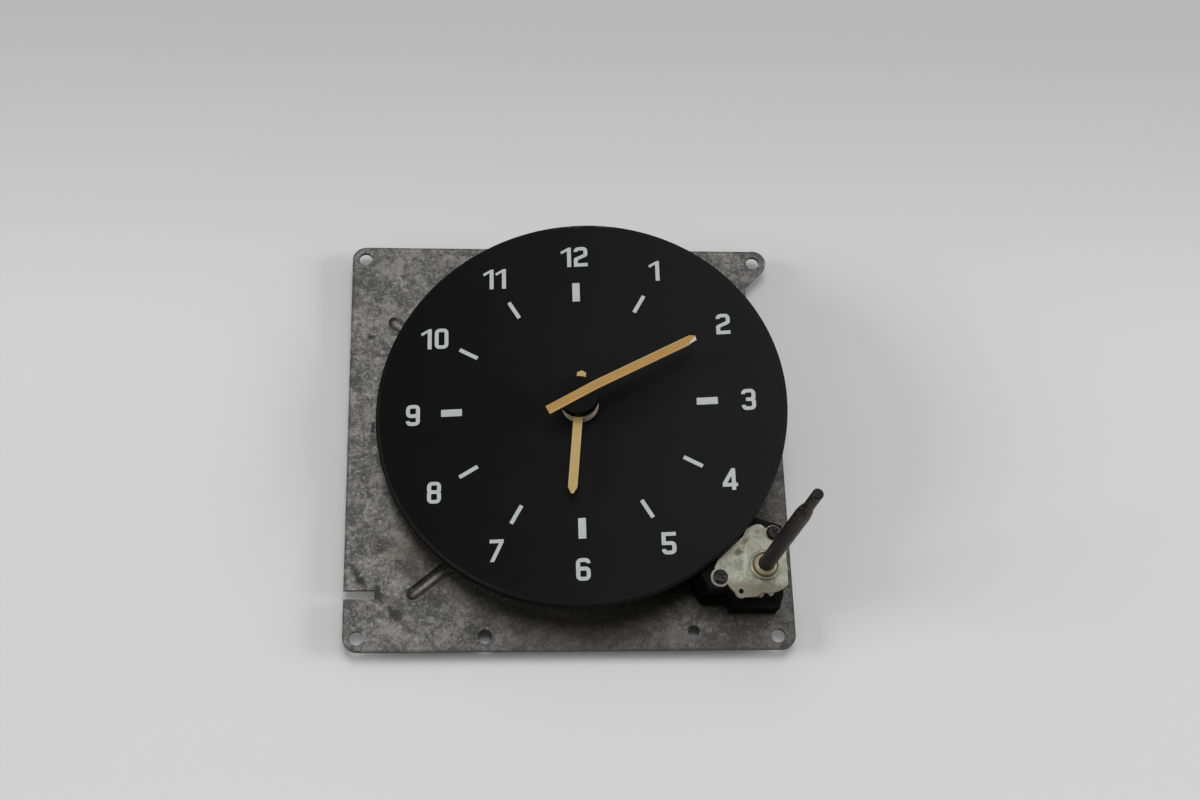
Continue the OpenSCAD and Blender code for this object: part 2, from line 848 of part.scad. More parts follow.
// Bobbin on the core, with a flange at each end
module coil_bobbin() {
    color([0.9, 0.9, 0.86])
    at_dial()
        translate([coil_ends[0] + leg_w / 2 + 0.3, coil_y, core_z + core_t / 2])
            rotate([0, 90, 0])
                difference() {
                    union() {
                        cylinder(r = 1.95, h = bobbin_l());
                        cylinder(r = coil_r + 0.3, h = 0.5);
                        translate([0, 0, bobbin_l() - 0.5])
                            cylinder(r = coil_r + 0.3, h = 0.5);
                    }
                    translate([-core_t / 2 - 0.03, -leg_w / 2 + 0.37, -over])
                        cube([core_t + 0.06, leg_w - 0.74, bobbin_l() + 2 * over]);
                }
}

function bobbin_l() = coil_ends[1] - coil_ends[0] - leg_w - 0.6;

module coil_winding() {
    color([0.65, 0.33, 0.16])
    at_dial()
        translate([coil_ends[0] + leg_w / 2 + 0.82, coil_y, core_z + core_t / 2])
            rotate([0, 90, 0])
                tube(coil_r, 1.97, bobbin_l() - 1.04);
}

module stator_screws() {
    color([0.7, 0.7, 0.72])
    at_dial()
        for (x = coil_ends)
            translate([x, coil_y, core_z])
                rotate([180, 0, 0])
                    slotted_screw(screw_r - 0.13, core_t + stator_t + 1.5, head_r, head_t);
}

// Arbor with a pivot at each end, running in both movement plates
module pivoted(r) {
    translate([0, 0, rear_top + shake])
        cylinder(r = r, h = plates_gap - 2 * shake);
    translate([0, 0, rear_top + shake - pivot_l])
        cylinder(r = pivot_r, h = plates_gap - 2 * shake + 2 * pivot_l);
}

// Rotor arbor with its pinion
module rotor_arbor() {
    color([0.92, 0.92, 0.9])
    at_dial()
        translate(rotor_pos) {
            pivoted(0.55);
            translate([0, 0, third_wheel_z - 0.2])
                gear_gap(pinion_n, third_m, wheel_t + 0.4, third_dir + 180);
        }
}

module rotor_magnet() {
    color([0.25, 0.25, 0.27])
    at_dial()
        translate([rotor_pos[0], rotor_pos[1], magnet_z])
            tube(rotor_r, 0.55 + press_fit, magnet_l);
}

// Third arbor with its pinion
module third_arbor() {
    color([0.75, 0.75, 0.77])
    at_dial()
        translate(third_pos) {
            pivoted(0.7);
            translate([0, 0, third_wheel_z - third_pinion_l])
                gear_gap(pinion_n, centre_m, third_pinion_l, centre_dir + 180);
        }
}

module third_wheel() {
    color([0.8, 0.65, 0.33])
    at_dial()
        translate([third_pos[0], third_pos[1], third_wheel_z])
            spoked_wheel(third_n, third_m, third_dir, 0.7 + press_fit, 4);
}

// Train wheel with round windows between its spokes
module spoked_wheel(n, m, dir, bore, windows) {
    rp = n * m / 2;
    difference() {
        gear(n, m, wheel_t, dir);
        translate([0, 0, -over])
            cylinder(r = bore, h = wheel_t + 2 * over);
        for (k = [0:windows - 1])
            rotate([0, 0, (k + 0.5) * 360 / windows])
                translate([rp * 0.56, 0, -over])
                    cylinder(r = rp * 0.22, h = wheel_t + 2 * over);
    }
}

// Centre arbor: it carries the cannon pinion and the minute hub
module centre_arbor() {
    color([0.75, 0.75, 0.77])
    at_dial() {
        translate([0, 0, rear_top + shake])
            cylinder(r = arbor_r, h = minute_hand_z - 0.2 - rear_top - shake);
        translate([0, 0, rear_back - 0.1])
            cylinder(r = 0.8, h = rear_t + shake + 0.3);
        translate([0, 0, centre_wheel_z - 0.6])
            cylinder(r = arbor_r + 0.7, h = 0.6);
    }
}

module centre_wheel() {
    color([0.8, 0.65, 0.33])
    at_dial()
        translate([0, 0, centre_wheel_z])
            spoked_wheel(centre_n, centre_m, centre_dir, arbor_r + press_fit, 5);
}

module cannon_pinion() {
    color([0.8, 0.65, 0.33])
    at_dial()
        translate([0, 0, minute_wheel_z])
            difference() {
                gear(cannon_n, motion_m, wheel_t, motion_dir);
                translate([0, 0, -over])
                    cylinder(r = arbor_r + press_fit, h = wheel_t + 2 * over);
            }
}

// Stud of the minute wheel, riveted in the front plate
module minute_stud() {
    color([0.75, 0.75, 0.77])
    at_dial()
        translate(stud_at()) {
            translate([0, 0, front_back])
                cylinder(r = 0.6, h = front_t + over);
            translate([0, 0, front_top])
                cylinder(r = 0.8, h = motion_room - 0.4);
        }
}

// Minute wheel with its pinion
module minute_wheel() {
    color([0.9, 0.9, 0.86])
    at_dial()
        translate(stud_at())
            translate([0, 0, minute_wheel_z])
                difference() {
                    union() {
                        gear_gap(minute_n, motion_m, wheel_t, motion_dir + 180);
                        gear(minute_pinion_n, motion_m, wheel_t * 2 + layer + 0.1, motion_dir + 180);
                    }
                    translate([0, 0, -over])
                        cylinder(r = 0.8 + run_fit, h = motion_room);
                }
}

// Hour wheel with its pipe
module hour_wheel() {
    color([0.9, 0.9, 0.86])
    at_dial()
        difference() {
            union() {
                translate([0, 0, hour_wheel_z])
                    gear_gap(hour_n, motion_m, wheel_t, motion_dir);
                translate([0, 0, hour_wheel_z])
                    cylinder(r = pipe_r, h = hour_hand_z - 0.2 - hour_wheel_z);
            }
            translate([0, 0, hour_wheel_z - over])
                cylinder(r = arbor_r + run_fit, h = hour_hand_z - hour_wheel_z + 2 * over);
        }
}

// Pale hub of the hour hand
module hour_hub() {
    color([0.72, 0.7, 0.66])
    at_dial()
        translate([0, 0, hour_hub_z])
            tube(hour_hub_r, pipe_r + press_fit, hour_hub_t);
}

module hour_hand() {
    color([0.9, 0.72, 0.48])
    at_dial()
        translate([0, 0, hour_hand_z])
            rotate([0, 0, hour_dir])
                linear_extrude(height = hand_t)
                    difference() {
                        union() {
                            polygon([[-hour_tail_l + 0.5, -hour_w / 2], [hour_l - 1.6, -hour_w / 2],
                                [hour_l, -0.25], [hour_l, 0.25], [hour_l - 1.6, hour_w / 2],
                                [-hour_tail_l + 0.5, hour_w / 2], [-hour_tail_l, 0.2], [-hour_tail_l, -0.2]]);
                            circle(r = hour_hub_r - 1);
                        }
                        circle(r = arbor_r + run_fit + 0.2);
                    }
}

// Black hub of the minute hand
module minute_hub() {
    color([0.1, 0.1, 0.1])
    at_dial()
        translate([0, 0, minute_hub_z])
            tube(minute_hub_r, arbor_r + press_fit, minute_hub_t);
}

// Minute hand: flat across the hub, then bent a little down and to the side
module minute_hand() {
    bent_l = minute_l - minute_hub_r;
    color([0.91, 0.7, 0.45])
    at_dial()
        translate([0, 0, minute_hand_z])
            rotate([0, 0, minute_dir]) {
                translate([-minute_tail_l, -minute_w / 2, 0])
                    cube([minute_tail_l + minute_hub_r + 0.1, minute_w, hand_t]);
                translate([minute_hub_r, 0, 0])
                    rotate([0, minute_droop, -minute_bend])
                        linear_extrude(height = hand_t)
                            polygon([[0, -minute_w / 2], [bent_l - 2.4, -minute_w / 2],
                                [bent_l, -0.1], [bent_l, 0.5],
                                [bent_l - 1.2, minute_w / 2], [0, minute_w / 2]]);
            }
}

// Rear cover: a shallow pan behind the sheet, with three screw ears
module rear_cover() {
    color([0.14, 0.14, 0.15])
    translate([axis_x, axis_y, -plate_t])
        difference() {
            union() {
                translate([0, 0, -cover_depth])
                    cylinder(r = pan_r, h = cover_depth, $fn = 96);
                ring(rear_dirs, wall_mid)
                    translate([0, 0, -ear_pad_t])
                        cylinder(r = ear_pad_r, h = ear_pad_t);
                for (a = rear_dirs)
                    rotate([0, 0, a])
                        translate([0, -ear_pad_r, -ear_pad_t])
                            cube([wall_mid, 2 * ear_pad_r, ear_pad_t]);
            }
            translate([0, 0, -cover_depth + cover_wall])
                cylinder(r = pan_r - cover_wall - 0.5, h = cover_depth, $fn = 96);
            ring(rear_dirs, wall_mid)
                translate([0, 0, -ear_pad_t - over])
                    cylinder(r = rear_screw_r + 0.1, h = ear_pad_t + 2 * over);
            ring(rear_dirs, wall_mid)
                translate([0, 0, -cover_depth - over])
                    cylinder(r = head_r + 0.9, h = cover_depth - ear_pad_t + over);
            translate([0, 0, -cover_depth - over])
                tube(pan_ring_r, pan_ring_r - pan_ring_w, over + pan_ring_d);
        }
}

// Screws from behind, through the pan's ears and the sheet into the carrier
module rear_screws() {
    color([0.7, 0.7, 0.72])
    translate([axis_x, axis_y, -plate_t - ear_pad_t])
        ring(rear_dirs, wall_mid)
            rotate([180, 0, 0])
                slotted_screw(rear_screw_r, ear_pad_t + plate_t + rear_screw_l - 0.4, head_r + 0.7, 1.4);
}

// Gearbox of the setting shaft: a low deck with a wall on the dial's side
module unit_housing() {
    color([0.1, 0.1, 0.1])
    intersection() {
        at_unit()
            difference() {
                union() {
                    translate([0, 0, -2])
                        linear_extrude(height = deck_h + 2)
                            translate(case_shift)
                                polygon(deck_outline);
                    translate([0, 0, deck_h - over])
                        linear_extrude(height = housing_h - deck_h + over)
                            translate(case_shift)
                                polygon(wall_outline);
                }
                translate([0, 0, deck_h])
                    cylinder(r = wheel_pocket_r, h = housing_h);
                translate([idler_pos[0], idler_pos[1], deck_h])
                    cylinder(r = idler_pocket_r, h = housing_h);
                translate([0, 0, floor_h])
                    cylinder(r = well_cup_r, h = housing_h);
                translate([0, 0, 0.12])
                    cylinder(r = pilot_r + run_fit, h = floor_h);
                translate([idler_pos[0], idler_pos[1], floor_h])
                    cylinder(r = stud_r + press_fit, h = housing_h);
                for (p = unit_screw_pos)
                    translate([p[0], p[1], -3])
                        cylinder(r = unit_screw_r + 0.05, h = housing_h + 4);
            }
        difference() {
            above_plate();
            at_dial()
                translate([0, 0, -3 * dial_h])
                    cylinder(r = carrier_r + carrier_gap, h = 3 * dial_h, $fn = 96);
        }
    }
    color([0.1, 0.1, 0.1])
    at_unit()
        translate([0, 0, floor_h - 0.4])
            difference() {
                cylinder(r = boss_r, h = boss_h - floor_h + 0.4);
                translate([0, 0, -floor_h])
                    cylinder(r = pilot_r + run_fit, h = boss_h + 2 * over);
            }
}

// Plated cover of the gearbox, with a drawn collar round the bush
module unit_cover() {
    color([0.78, 0.78, 0.7])
    at_unit()
        difference() {
            union() {
                translate([0, 0, housing_h])
                    linear_extrude(height = cover_t)
                        cover_outline();
                translate([0, 0, cover_h - cover_t / 2])
                    cylinder(r = collar_r, h = cover_t / 2 + collar_h - collar_edge);
                translate([0, 0, cover_h + collar_h - collar_edge])
                    cylinder(r1 = collar_r, r2 = collar_r - collar_edge, h = collar_edge);
            }
            translate([0, 0, housing_h - over])
                cylinder(r = bush_r + press_fit, h = cover_t + collar_h + 2 * over);
            for (p = unit_screw_pos)
                translate([p[0], p[1], housing_h - over])
                    cylinder(r = unit_screw_r + 0.1, h = cover_t + 2 * over);
            translate([cover_hole[0], cover_hole[1], housing_h - over])
                cylinder(r = cover_hole_r, h = cover_t + 2 * over);
        }
}

module cover_outline() {
    // middle, with the edge that leaves the teeth of the shaft wheel in sight
    translate(case_shift) {
        difference() {
            circle(r = cover_r);
            translate([cover_cut_x, -2 * cover_r])
                square([cover_r, 4 * cover_r]);
        }
        polygon(cover_edge);
    }
    translate(cover_nose)
        circle(r = cover_nose_r);
    for (k = [0, 1])
        translate(unit_screw_pos[k])
            circle(r = cover_pad_r[k]);
    translate(cover_foot)
        circle(r = cover_foot_r);
}

module unit_screws() {
    color([0.15, 0.13, 0.14])
    at_unit()
        for (p = unit_screw_pos)
            translate([p[0], p[1], cover_h])
                cross_screw(unit_screw_r, cover_h + plate_t - 0.1, unit_head_r, unit_head_t);
}

// Screw with a rounded-off head and a cross recess: the head stands on z = 0
module cross_screw(shank_r, shank_l, top_r, top_t) {
    difference() {
        union() {
            cylinder(r = top_r, h = top_t / 2);
            translate([0, 0, top_t / 2])
                cylinder(r1 = top_r, r2 = top_r - top_t / 2, h = top_t / 2);
            translate([0, 0, -shank_l])
                cylinder(r = shank_r, h = shank_l + top_t / 4);
        }
        for (a = [35, 125])
            rotate([0, 0, a])
                translate([-cross_l / 2, -cross_w / 2, top_t - cross_d])
                    cube([cross_l, cross_w, cross_d + over]);
    }
}

// Tan bush in the collar, which guides the shaft; its top is a low dome
module shaft_bush() {
    bore = shaft_r + run_fit;
    foot = bush_r - bush_step;
    lip = bore + bush_lip;
    color([0.72, 0.6, 0.42])
    at_unit()
        rotate_extrude($fn = 64)
            polygon([[bore, set_high + 0.4], [bush_r, set_high + 0.4], [bush_r, cover_h], [foot, cover_h],
                [foot, cover_h + bush_h * 0.4], [lip + (foot - lip) * 0.7, cover_h + bush_h * 0.72],
                [lip, cover_h + bush_h], [bore, cover_h + bush_h]]);
}

// Setting shaft with its pilot below and its thin end for the knob above
module setting_shaft() {
    color([0.2, 0.15, 0.12])
    at_unit()
        rotate_extrude($fn = 48)
            polygon(concat(
                [[0, pilot_end], [pilot_r, pilot_end], [pilot_r, cup_z + cup_t], [shaft_r, cup_z + cup_t]],
                [for (t = [0:0.2:1]) [knob_r + (shaft_r - knob_r) * (1 - t * t),
                    shaft_tip - knob_l - cone_l * (1 - t)]],
                [[knob_r, shaft_tip - tip_edge], [knob_r - tip_edge, shaft_tip], [0, shaft_tip]]));
}

module shaft_wheel() {
    color([0.8, 0.8, 0.72])
    at_unit()
        translate([0, 0, set_low])
            difference() {
                gear(shaft_n, set_m, set_t, idler_dir, set_add, 0.2);
                translate([0, 0, -over])
                    cylinder(r = shaft_r + press_fit, h = set_t + 2 * over);
            }
}

// Cup that carries the shaft on the return spring
module push_cup() {
    color([0.6, 0.6, 0.62])
    at_unit()
        translate([0, 0, cup_z])
            tube(cup_r, pilot_r + run_fit, cup_t);
}

// Return spring under the cup: one tube swept along a helix
spring_low = floor_h + spring_wire / 2 + 0.1;
spring_high = cup_z - spring_wire / 2 - 0.1;
spring_steps = 50;
function spring_ring(k) =
    let (a = 360 * spring_turns * k / spring_steps)
    let (z = spring_low + (spring_high - spring_low) * k / spring_steps)
    [for (j = [0:5]) let (b = 60 * j, q = spring_r + spring_wire / 2 * cos(b))
        [q * cos(a), q * sin(a), z + spring_wire / 2 * sin(b)]];
module return_spring() {
    points = [for (k = [0:spring_steps]) each spring_ring(k)];
    sides = [for (k = [0:spring_steps - 1]) for (j = [0:5])
        let (a = 6 * k + j, b = 6 * k + (j + 1) % 6)
        each [[a, b, b + 6], [a, b + 6, a + 6]]];
    caps = [[5, 4, 3, 2, 1, 0], [for (j = [0:5]) 6 * spring_steps + j]];
    color([0.7, 0.7, 0.72])
    at_unit()
        polyhedron(points = points, faces = concat(
            [for (f = sides) [f[2], f[1], f[0]]], [for (f = caps) [for (i = [len(f) - 1:-1:0]) f[i]]]));
}

// Idler that takes the turn from the shaft wheel towards the movement
module setting_idler() {
    color([0.85, 0.85, 0.8])
    at_unit()
        translate([idler_pos[0], idler_pos[1], idler_low])
            difference() {
                gear_gap(idler_n, set_m, idler_high - idler_low, idler_dir + 180, set_add, 0.2);
                translate([0, 0, -over])
                    cylinder(r = stud_r + run_fit, h = idler_high);
            }
}

module idler_stud() {
    color([0.7, 0.7, 0.72])
    at_unit()
        translate([idler_pos[0], idler_pos[1], floor_h])
            cylinder(r = stud_r, h = housing_h - floor_h - 0.3);
}

base_plate();
dial();
dial_feet();
foot_screws();
movement_carrier();
front_plate();
plate_screws();
pillars();
rear_plate();
pillar_screws();
board_spacers();
circuit_board();
quartz_can();
driver_chip();
capacitor();
terminals();
stator();
stator_posts();
coil_core();
coil_bobbin();
coil_winding();
stator_screws();
rotor_arbor();
rotor_magnet();
third_arbor();
third_wheel();
centre_arbor();
centre_wheel();
cannon_pinion();
minute_stud();
minute_wheel();
hour_wheel();
hour_hub();
hour_hand();
minute_hub();
minute_hand();
rear_cover();
rear_screws();
unit_housing();
unit_cover();
unit_screws();
shaft_bush();
setting_shaft();
shaft_wheel();
push_cup();
return_spring();
setting_idler();
idler_stud();
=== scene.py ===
"""Looks of the car clock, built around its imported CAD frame."""
import functools
import json
import math

import bpy
import bmesh
from mathutils import Matrix, Vector
from mathutils.geometry import tessellate_polygon


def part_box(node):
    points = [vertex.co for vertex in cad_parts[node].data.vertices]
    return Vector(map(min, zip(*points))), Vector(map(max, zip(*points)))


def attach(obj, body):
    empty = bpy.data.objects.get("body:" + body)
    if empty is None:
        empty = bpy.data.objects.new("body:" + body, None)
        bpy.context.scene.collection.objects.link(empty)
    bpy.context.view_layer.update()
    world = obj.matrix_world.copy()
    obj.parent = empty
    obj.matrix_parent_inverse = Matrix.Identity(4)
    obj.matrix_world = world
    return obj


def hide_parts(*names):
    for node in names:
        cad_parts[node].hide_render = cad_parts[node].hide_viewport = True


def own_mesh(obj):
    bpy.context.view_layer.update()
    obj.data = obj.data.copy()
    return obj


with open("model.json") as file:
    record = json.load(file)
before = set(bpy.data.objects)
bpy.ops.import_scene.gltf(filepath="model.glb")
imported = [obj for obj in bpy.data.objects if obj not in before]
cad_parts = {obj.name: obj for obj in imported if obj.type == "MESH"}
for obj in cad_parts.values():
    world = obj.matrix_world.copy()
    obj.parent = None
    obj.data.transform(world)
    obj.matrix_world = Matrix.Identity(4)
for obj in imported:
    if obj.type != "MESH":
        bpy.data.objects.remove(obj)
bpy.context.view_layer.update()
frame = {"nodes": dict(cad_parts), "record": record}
NODES = frame["nodes"]
MM = 0.001


def turned(at, degrees, axis):
    """Frame at a point, turned about one axis."""
    return Matrix.Translation(at) @ Matrix.Rotation(math.radians(degrees), 4, axis)


# Frames of the leaning parts, in millimetres as in the CAD source
DIAL_X, DIAL_Y, DIAL_Z, DIAL_TILT = 3.14, 4, 11.9, 7.5
DIAL = turned((DIAL_X, DIAL_Y, DIAL_Z), -DIAL_TILT, "Y")
UNIT = turned((44.8, -36.4, 0), 4, "Y")
CASE = UNIT @ Matrix.Translation((0.35, 0.3, 0))

# Hands on the dial: height and direction; the minute hand bends where it leaves its hub
HOUR_Z, HOUR_DIR = 3.5, -95.5
MINUTE_Z, MINUTE_DIR, MINUTE_L = 7.7, 27.4, 27.2
BEND_R, BEND, DROOP = 4.8, 1.2, 3.6
HOUR = DIAL @ turned((0, 0, HOUR_Z), HOUR_DIR, "Z")
MINUTE_BENT = (DIAL @ turned((0, 0, MINUTE_Z), MINUTE_DIR, "Z") @ turned((BEND_R, 0, 0), -BEND, "Z")
               @ turned((0, 0, 0), DROOP, "Y"))

# Middle, half sizes and corner radius of the base plate
SHEET_X, SHEET_HALF_X, SHEET_HALF_Y, SHEET_R = 0.45, 53.75, 53.3, 3.5


# ---------------------------------------------------------------- node trees
# Sockets of the Mix node for its colours
MIX_A, MIX_B, MIX_OUT = 6, 7, 2


class Sock:
    """An output of a node tree that can be used in sums."""

    def __init__(self, owner, socket):
        self.owner, self.socket = owner, socket

    def _math(self, op, *values):
        return self.owner.node("ShaderNodeMath", dict(enumerate(values)), operation=op)

    def __add__(self, o): return self._math("ADD", self, o)
    def __radd__(self, o): return self._math("ADD", o, self)
    def __sub__(self, o): return self._math("SUBTRACT", self, o)
    def __rsub__(self, o): return self._math("SUBTRACT", o, self)
    def __mul__(self, o): return self._math("MULTIPLY", self, o)
    def __truediv__(self, o): return self._math("DIVIDE", self, o)
    def __mod__(self, o): return self._math("MODULO", self, o)
    def abs(self): return self._math("ABSOLUTE", self)
    def sqrt(self): return self._math("SQRT", self)
    def sin(self): return self._math("SINE", self)
    def low(self, o): return self._math("MINIMUM", self, o)
    def high(self, o): return self._math("MAXIMUM", self, o)

    def step(self, start, end):
        """Goes smoothly from 0 to 1 while this value goes from start to end."""
        return self.owner.node("ShaderNodeMapRange", {0: self, 1: start, 2: end},
                               interpolation_type="SMOOTHSTEP")


class Nodes:
    """A node tree in which one call makes a node, sets it and links it."""

    def __init__(self, tree):
        self.tree = tree

    def node(self, kind, inputs=None, out=0, **settings):
        made = self.tree.nodes.new(kind)
        for key, value in settings.items():
            setattr(made, key, value)
        for key, value in (inputs or {}).items():
            if isinstance(value, Sock):
                self.tree.links.new(value.socket, made.inputs[key])
            else:
                made.inputs[key].default_value = value
        return Sock(self, made.outputs[out]) if made.outputs else None

    def parts(self, vector):
        """The three numbers of a vector."""
        made = self.node("ShaderNodeSeparateXYZ", {0: vector})
        return [Sock(self, s) for s in made.socket.node.outputs]


class Tree(Nodes):
    """Tree of one material; places are in millimetres of the object's own frame."""

    def __init__(self, name):
        self.material = bpy.data.materials.new(name)
        self.material.use_nodes = True
        super().__init__(self.material.node_tree)
        self.tree.nodes.clear()
        self.place = self.vector("SCALE", self.node("ShaderNodeTexCoord", out="Object"), scale=1 / MM)

    def vector(self, op, *values, scale=None):
        inputs = dict(enumerate(values))
        if scale is not None:
            inputs["Scale"] = scale
        return self.node("ShaderNodeVectorMath", inputs, operation=op)

    def mix(self, share, a, b):
        """Colour a where share is 0 and b where it is 1."""
        return self.node("ShaderNodeMix", {0: share, MIX_A: full(a), MIX_B: full(b)}, MIX_OUT,
                         data_type="RGBA")

    def noise(self, scale, detail=3.0, rough=0.5, at=None, stretch=None, seed=0.0, out=0):
        """Fractal noise; scale is in turns for each millimetre and seed moves it to another place."""
        place = self.vector("ADD", at or self.place, (seed, seed * 1.7, seed * 0.6))
        if stretch:
            place = self.vector("MULTIPLY", place, stretch)
        return self.node("ShaderNodeTexNoise", {"Vector": place, "Scale": scale, "Detail": detail,
                                                "Roughness": rough}, out)

    def cells(self, scale, at=None, feature="F1", out="Distance", seed=0.0):
        place = self.vector("ADD", at or self.place, (seed, seed * 1.3, seed * 0.7))
        return self.node("ShaderNodeTexVoronoi", {"Vector": place, "Scale": scale}, out, feature=feature)

    def turned_back(self, vector, matrix):
        """A vector of the object's frame, seen from a leaning part."""
        return self.node("ShaderNodeVectorRotate",
                         {"Vector": vector, "Rotation": tuple(matrix.inverted().to_euler())},
                         rotation_type="EULER_XYZ")

    def local(self, matrix):
        """The place in the frame of a leaning part."""
        return self.turned_back(self.vector("SUBTRACT", self.place, tuple(matrix.translation)), matrix)

    def normal(self):
        """The surface's direction in the object's frame."""
        return self.node("ShaderNodeTexCoord", out="Normal")

    def local_normal(self, matrix):
        """The surface's direction in the frame of a leaning part."""
        return self.turned_back(self.normal(), matrix)

    def up(self):
        """How far the surface faces up in the object's frame."""
        return self.parts(self.normal())[2]

    def blob(self, x, y, mid_x, mid_y, long, wide, turn=0.0, soft=0.5):
        """1 inside a turned ellipse, 0 outside, with a soft edge."""
        c, s = math.cos(math.radians(turn)), math.sin(math.radians(turn))
        u = ((x - mid_x) * c + (y - mid_y) * s) / long
        v = ((y - mid_y) * c - (x - mid_x) * s) / wide
        return distance(u, v).step(1 + soft, 1 - soft)

    def bump(self, height, strength, depth):
        """Bumps up to depth millimetres."""
        return self.node("ShaderNodeBump", {"Height": height, "Strength": strength, "Distance": depth * MM})

    def finish(self, color, rough, metallic=0.0, normal=None, **more):
        """The finished material; more names further sockets, with _ for each space."""
        inputs = {"Base Color": full(color), "Roughness": rough, "Metallic": metallic}
        if normal is not None:
            inputs["Normal"] = normal
        inputs.update({key.replace("_", " "): value for key, value in more.items()})
        shader = self.node("ShaderNodeBsdfPrincipled", inputs)
        self.node("ShaderNodeOutputMaterial", {"Surface": shader})
        return self.material


def full(color):
    """A colour as a socket takes it: a link, or three numbers and no transparency."""
    return color if isinstance(color, Sock) else (*color, 1.0)


def distance(x, y):
    """Distance from the axis that x and y are counted from."""
    return (x * x + y * y).sqrt()


def most(*masks):
    """The strongest of several masks."""
    return functools.reduce(Sock.high, masks)


# ---------------------------------------------------------------- meshes
def placed(name, data):
    """New object of the scene, at the origin."""
    made = bpy.data.objects.new(name, data)
    bpy.context.scene.collection.objects.link(made)
    return made


def closed(name, points, faces):
    """Mesh with its faces outward."""
    mesh = bpy.data.meshes.new(name)
    mesh.from_pydata([tuple(p) for p in points], [], faces)
    work = bmesh.new()
    work.from_mesh(mesh)
    bmesh.ops.recalc_face_normals(work, faces=work.faces)
    work.to_mesh(mesh)
    work.free()
    return mesh


def riding(name, mesh, body):
    """Piece that rides on a body; its mesh is in metres of the row frame."""
    made = placed(name, mesh)
    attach(made, body)
    return made


def piece(name, solids, material, body):
    """Piece made of closed solids, each its points and faces."""
    mesh = closed(name, *joined(solids))
    mesh.materials.append(material)
    riding(name, mesh, body)


def rounded(corners, steps=5):
    """Outline through corners (x, y, radius), each rounded by its radius; sharp without one."""
    nearly_straight = 1.55
    out = []
    for i, corner in enumerate(corners):
        here = Vector(corner[:2])
        radius = corner[2] if len(corner) > 2 else 0
        before = (Vector(corners[i - 1][:2]) - here).normalized()
        after = (Vector(corners[(i + 1) % len(corners)][:2]) - here).normalized()
        half = before.angle(after) / 2
        if radius <= 0 or half > nearly_straight:
            out.append(here)
            continue
        centre = here + (before + after).normalized() * radius / math.sin(half)
        ends = [here + d * radius / math.tan(half) - centre for d in (before, after)]
        angles = [math.atan2(e.y, e.x) for e in ends]
        sweep = (angles[1] - angles[0] + math.pi) % (2 * math.pi) - math.pi
        for k in range(steps + 1):
            a = angles[0] + sweep * k / steps
            out.append(centre + radius * Vector((math.cos(a), math.sin(a))))
    return out


def slab(loops, low, high, place):
    """Flat solid between two levels; the first loop is the outline, the rest are holes."""
    flat = [Vector((p[0], p[1], 0)) for loop in loops for p in loop]
    caps = tessellate_polygon([[Vector((p[0], p[1], 0)) for p in loop] for loop in loops])
    n = len(flat)
    points = [place @ (p + Vector((0, 0, z))) * MM for z in (low, high) for p in flat]
    faces = [tuple(f) for f in caps] + [tuple(n + i for i in f) for f in caps]
    start = 0
    for loop in loops:
        for k in range(len(loop)):
            a, b = start + k, start + (k + 1) % len(loop)
            faces.append((a, b, n + b, n + a))
        start += len(loop)
    return points, faces


def lathe(profile, place, count):
    """Solid of revolution; profile is (radius, height) from one end's middle to the other's."""
    points, faces = [], []
    for radius, height in profile[1:-1]:
        for k in range(count):
            a = 2 * math.pi * k / count
            points.append(place @ Vector((radius * math.cos(a), radius * math.sin(a), height)) * MM)
    rows = len(profile) - 2
    for row in range(rows - 1):
        for k in range(count):
            a, b = row * count + k, row * count + (k + 1) % count
            faces.append((a, b, b + count, a + count))
    for end, row in ((profile[0], 0), (profile[-1], rows - 1)):
        points.append(place @ Vector((0, 0, end[1])) * MM)
        tip = len(points) - 1
        for k in range(count):
            faces.append((tip, row * count + k, row * count + (k + 1) % count))
    return points, faces


def joined(solids):
    """One list of points and faces from several."""
    points, faces = [], []
    for some_points, some_faces in solids:
        base = len(points)
        points += some_points
        faces += [tuple(base + i for i in f) for f in some_faces]
    return points, faces


# ---------------------------------------------------------------- print of the dial
# Ink over the dial's face and into it
PRINT_T, PRINT_SINK = 0.03, 0.01
# Circles of the bars and of the numerals, whose middles lie a little left of the dial's
BAR_R, BAR_X = 31.05, -0.33
NUMERAL_R, NUMERAL_C = 40.9, (-0.27, -0.07)
BAR_HALF_L, THICK_HALF_W, THIN_HALF_W, BAR_CORNER = 2.55, 0.92, 0.49, 0.12
# Height of a digit, width of its strokes, and radii of its outer and inner corners
DIGIT_H, S, R, N = 5.5, 0.97, 1.2, 0.3

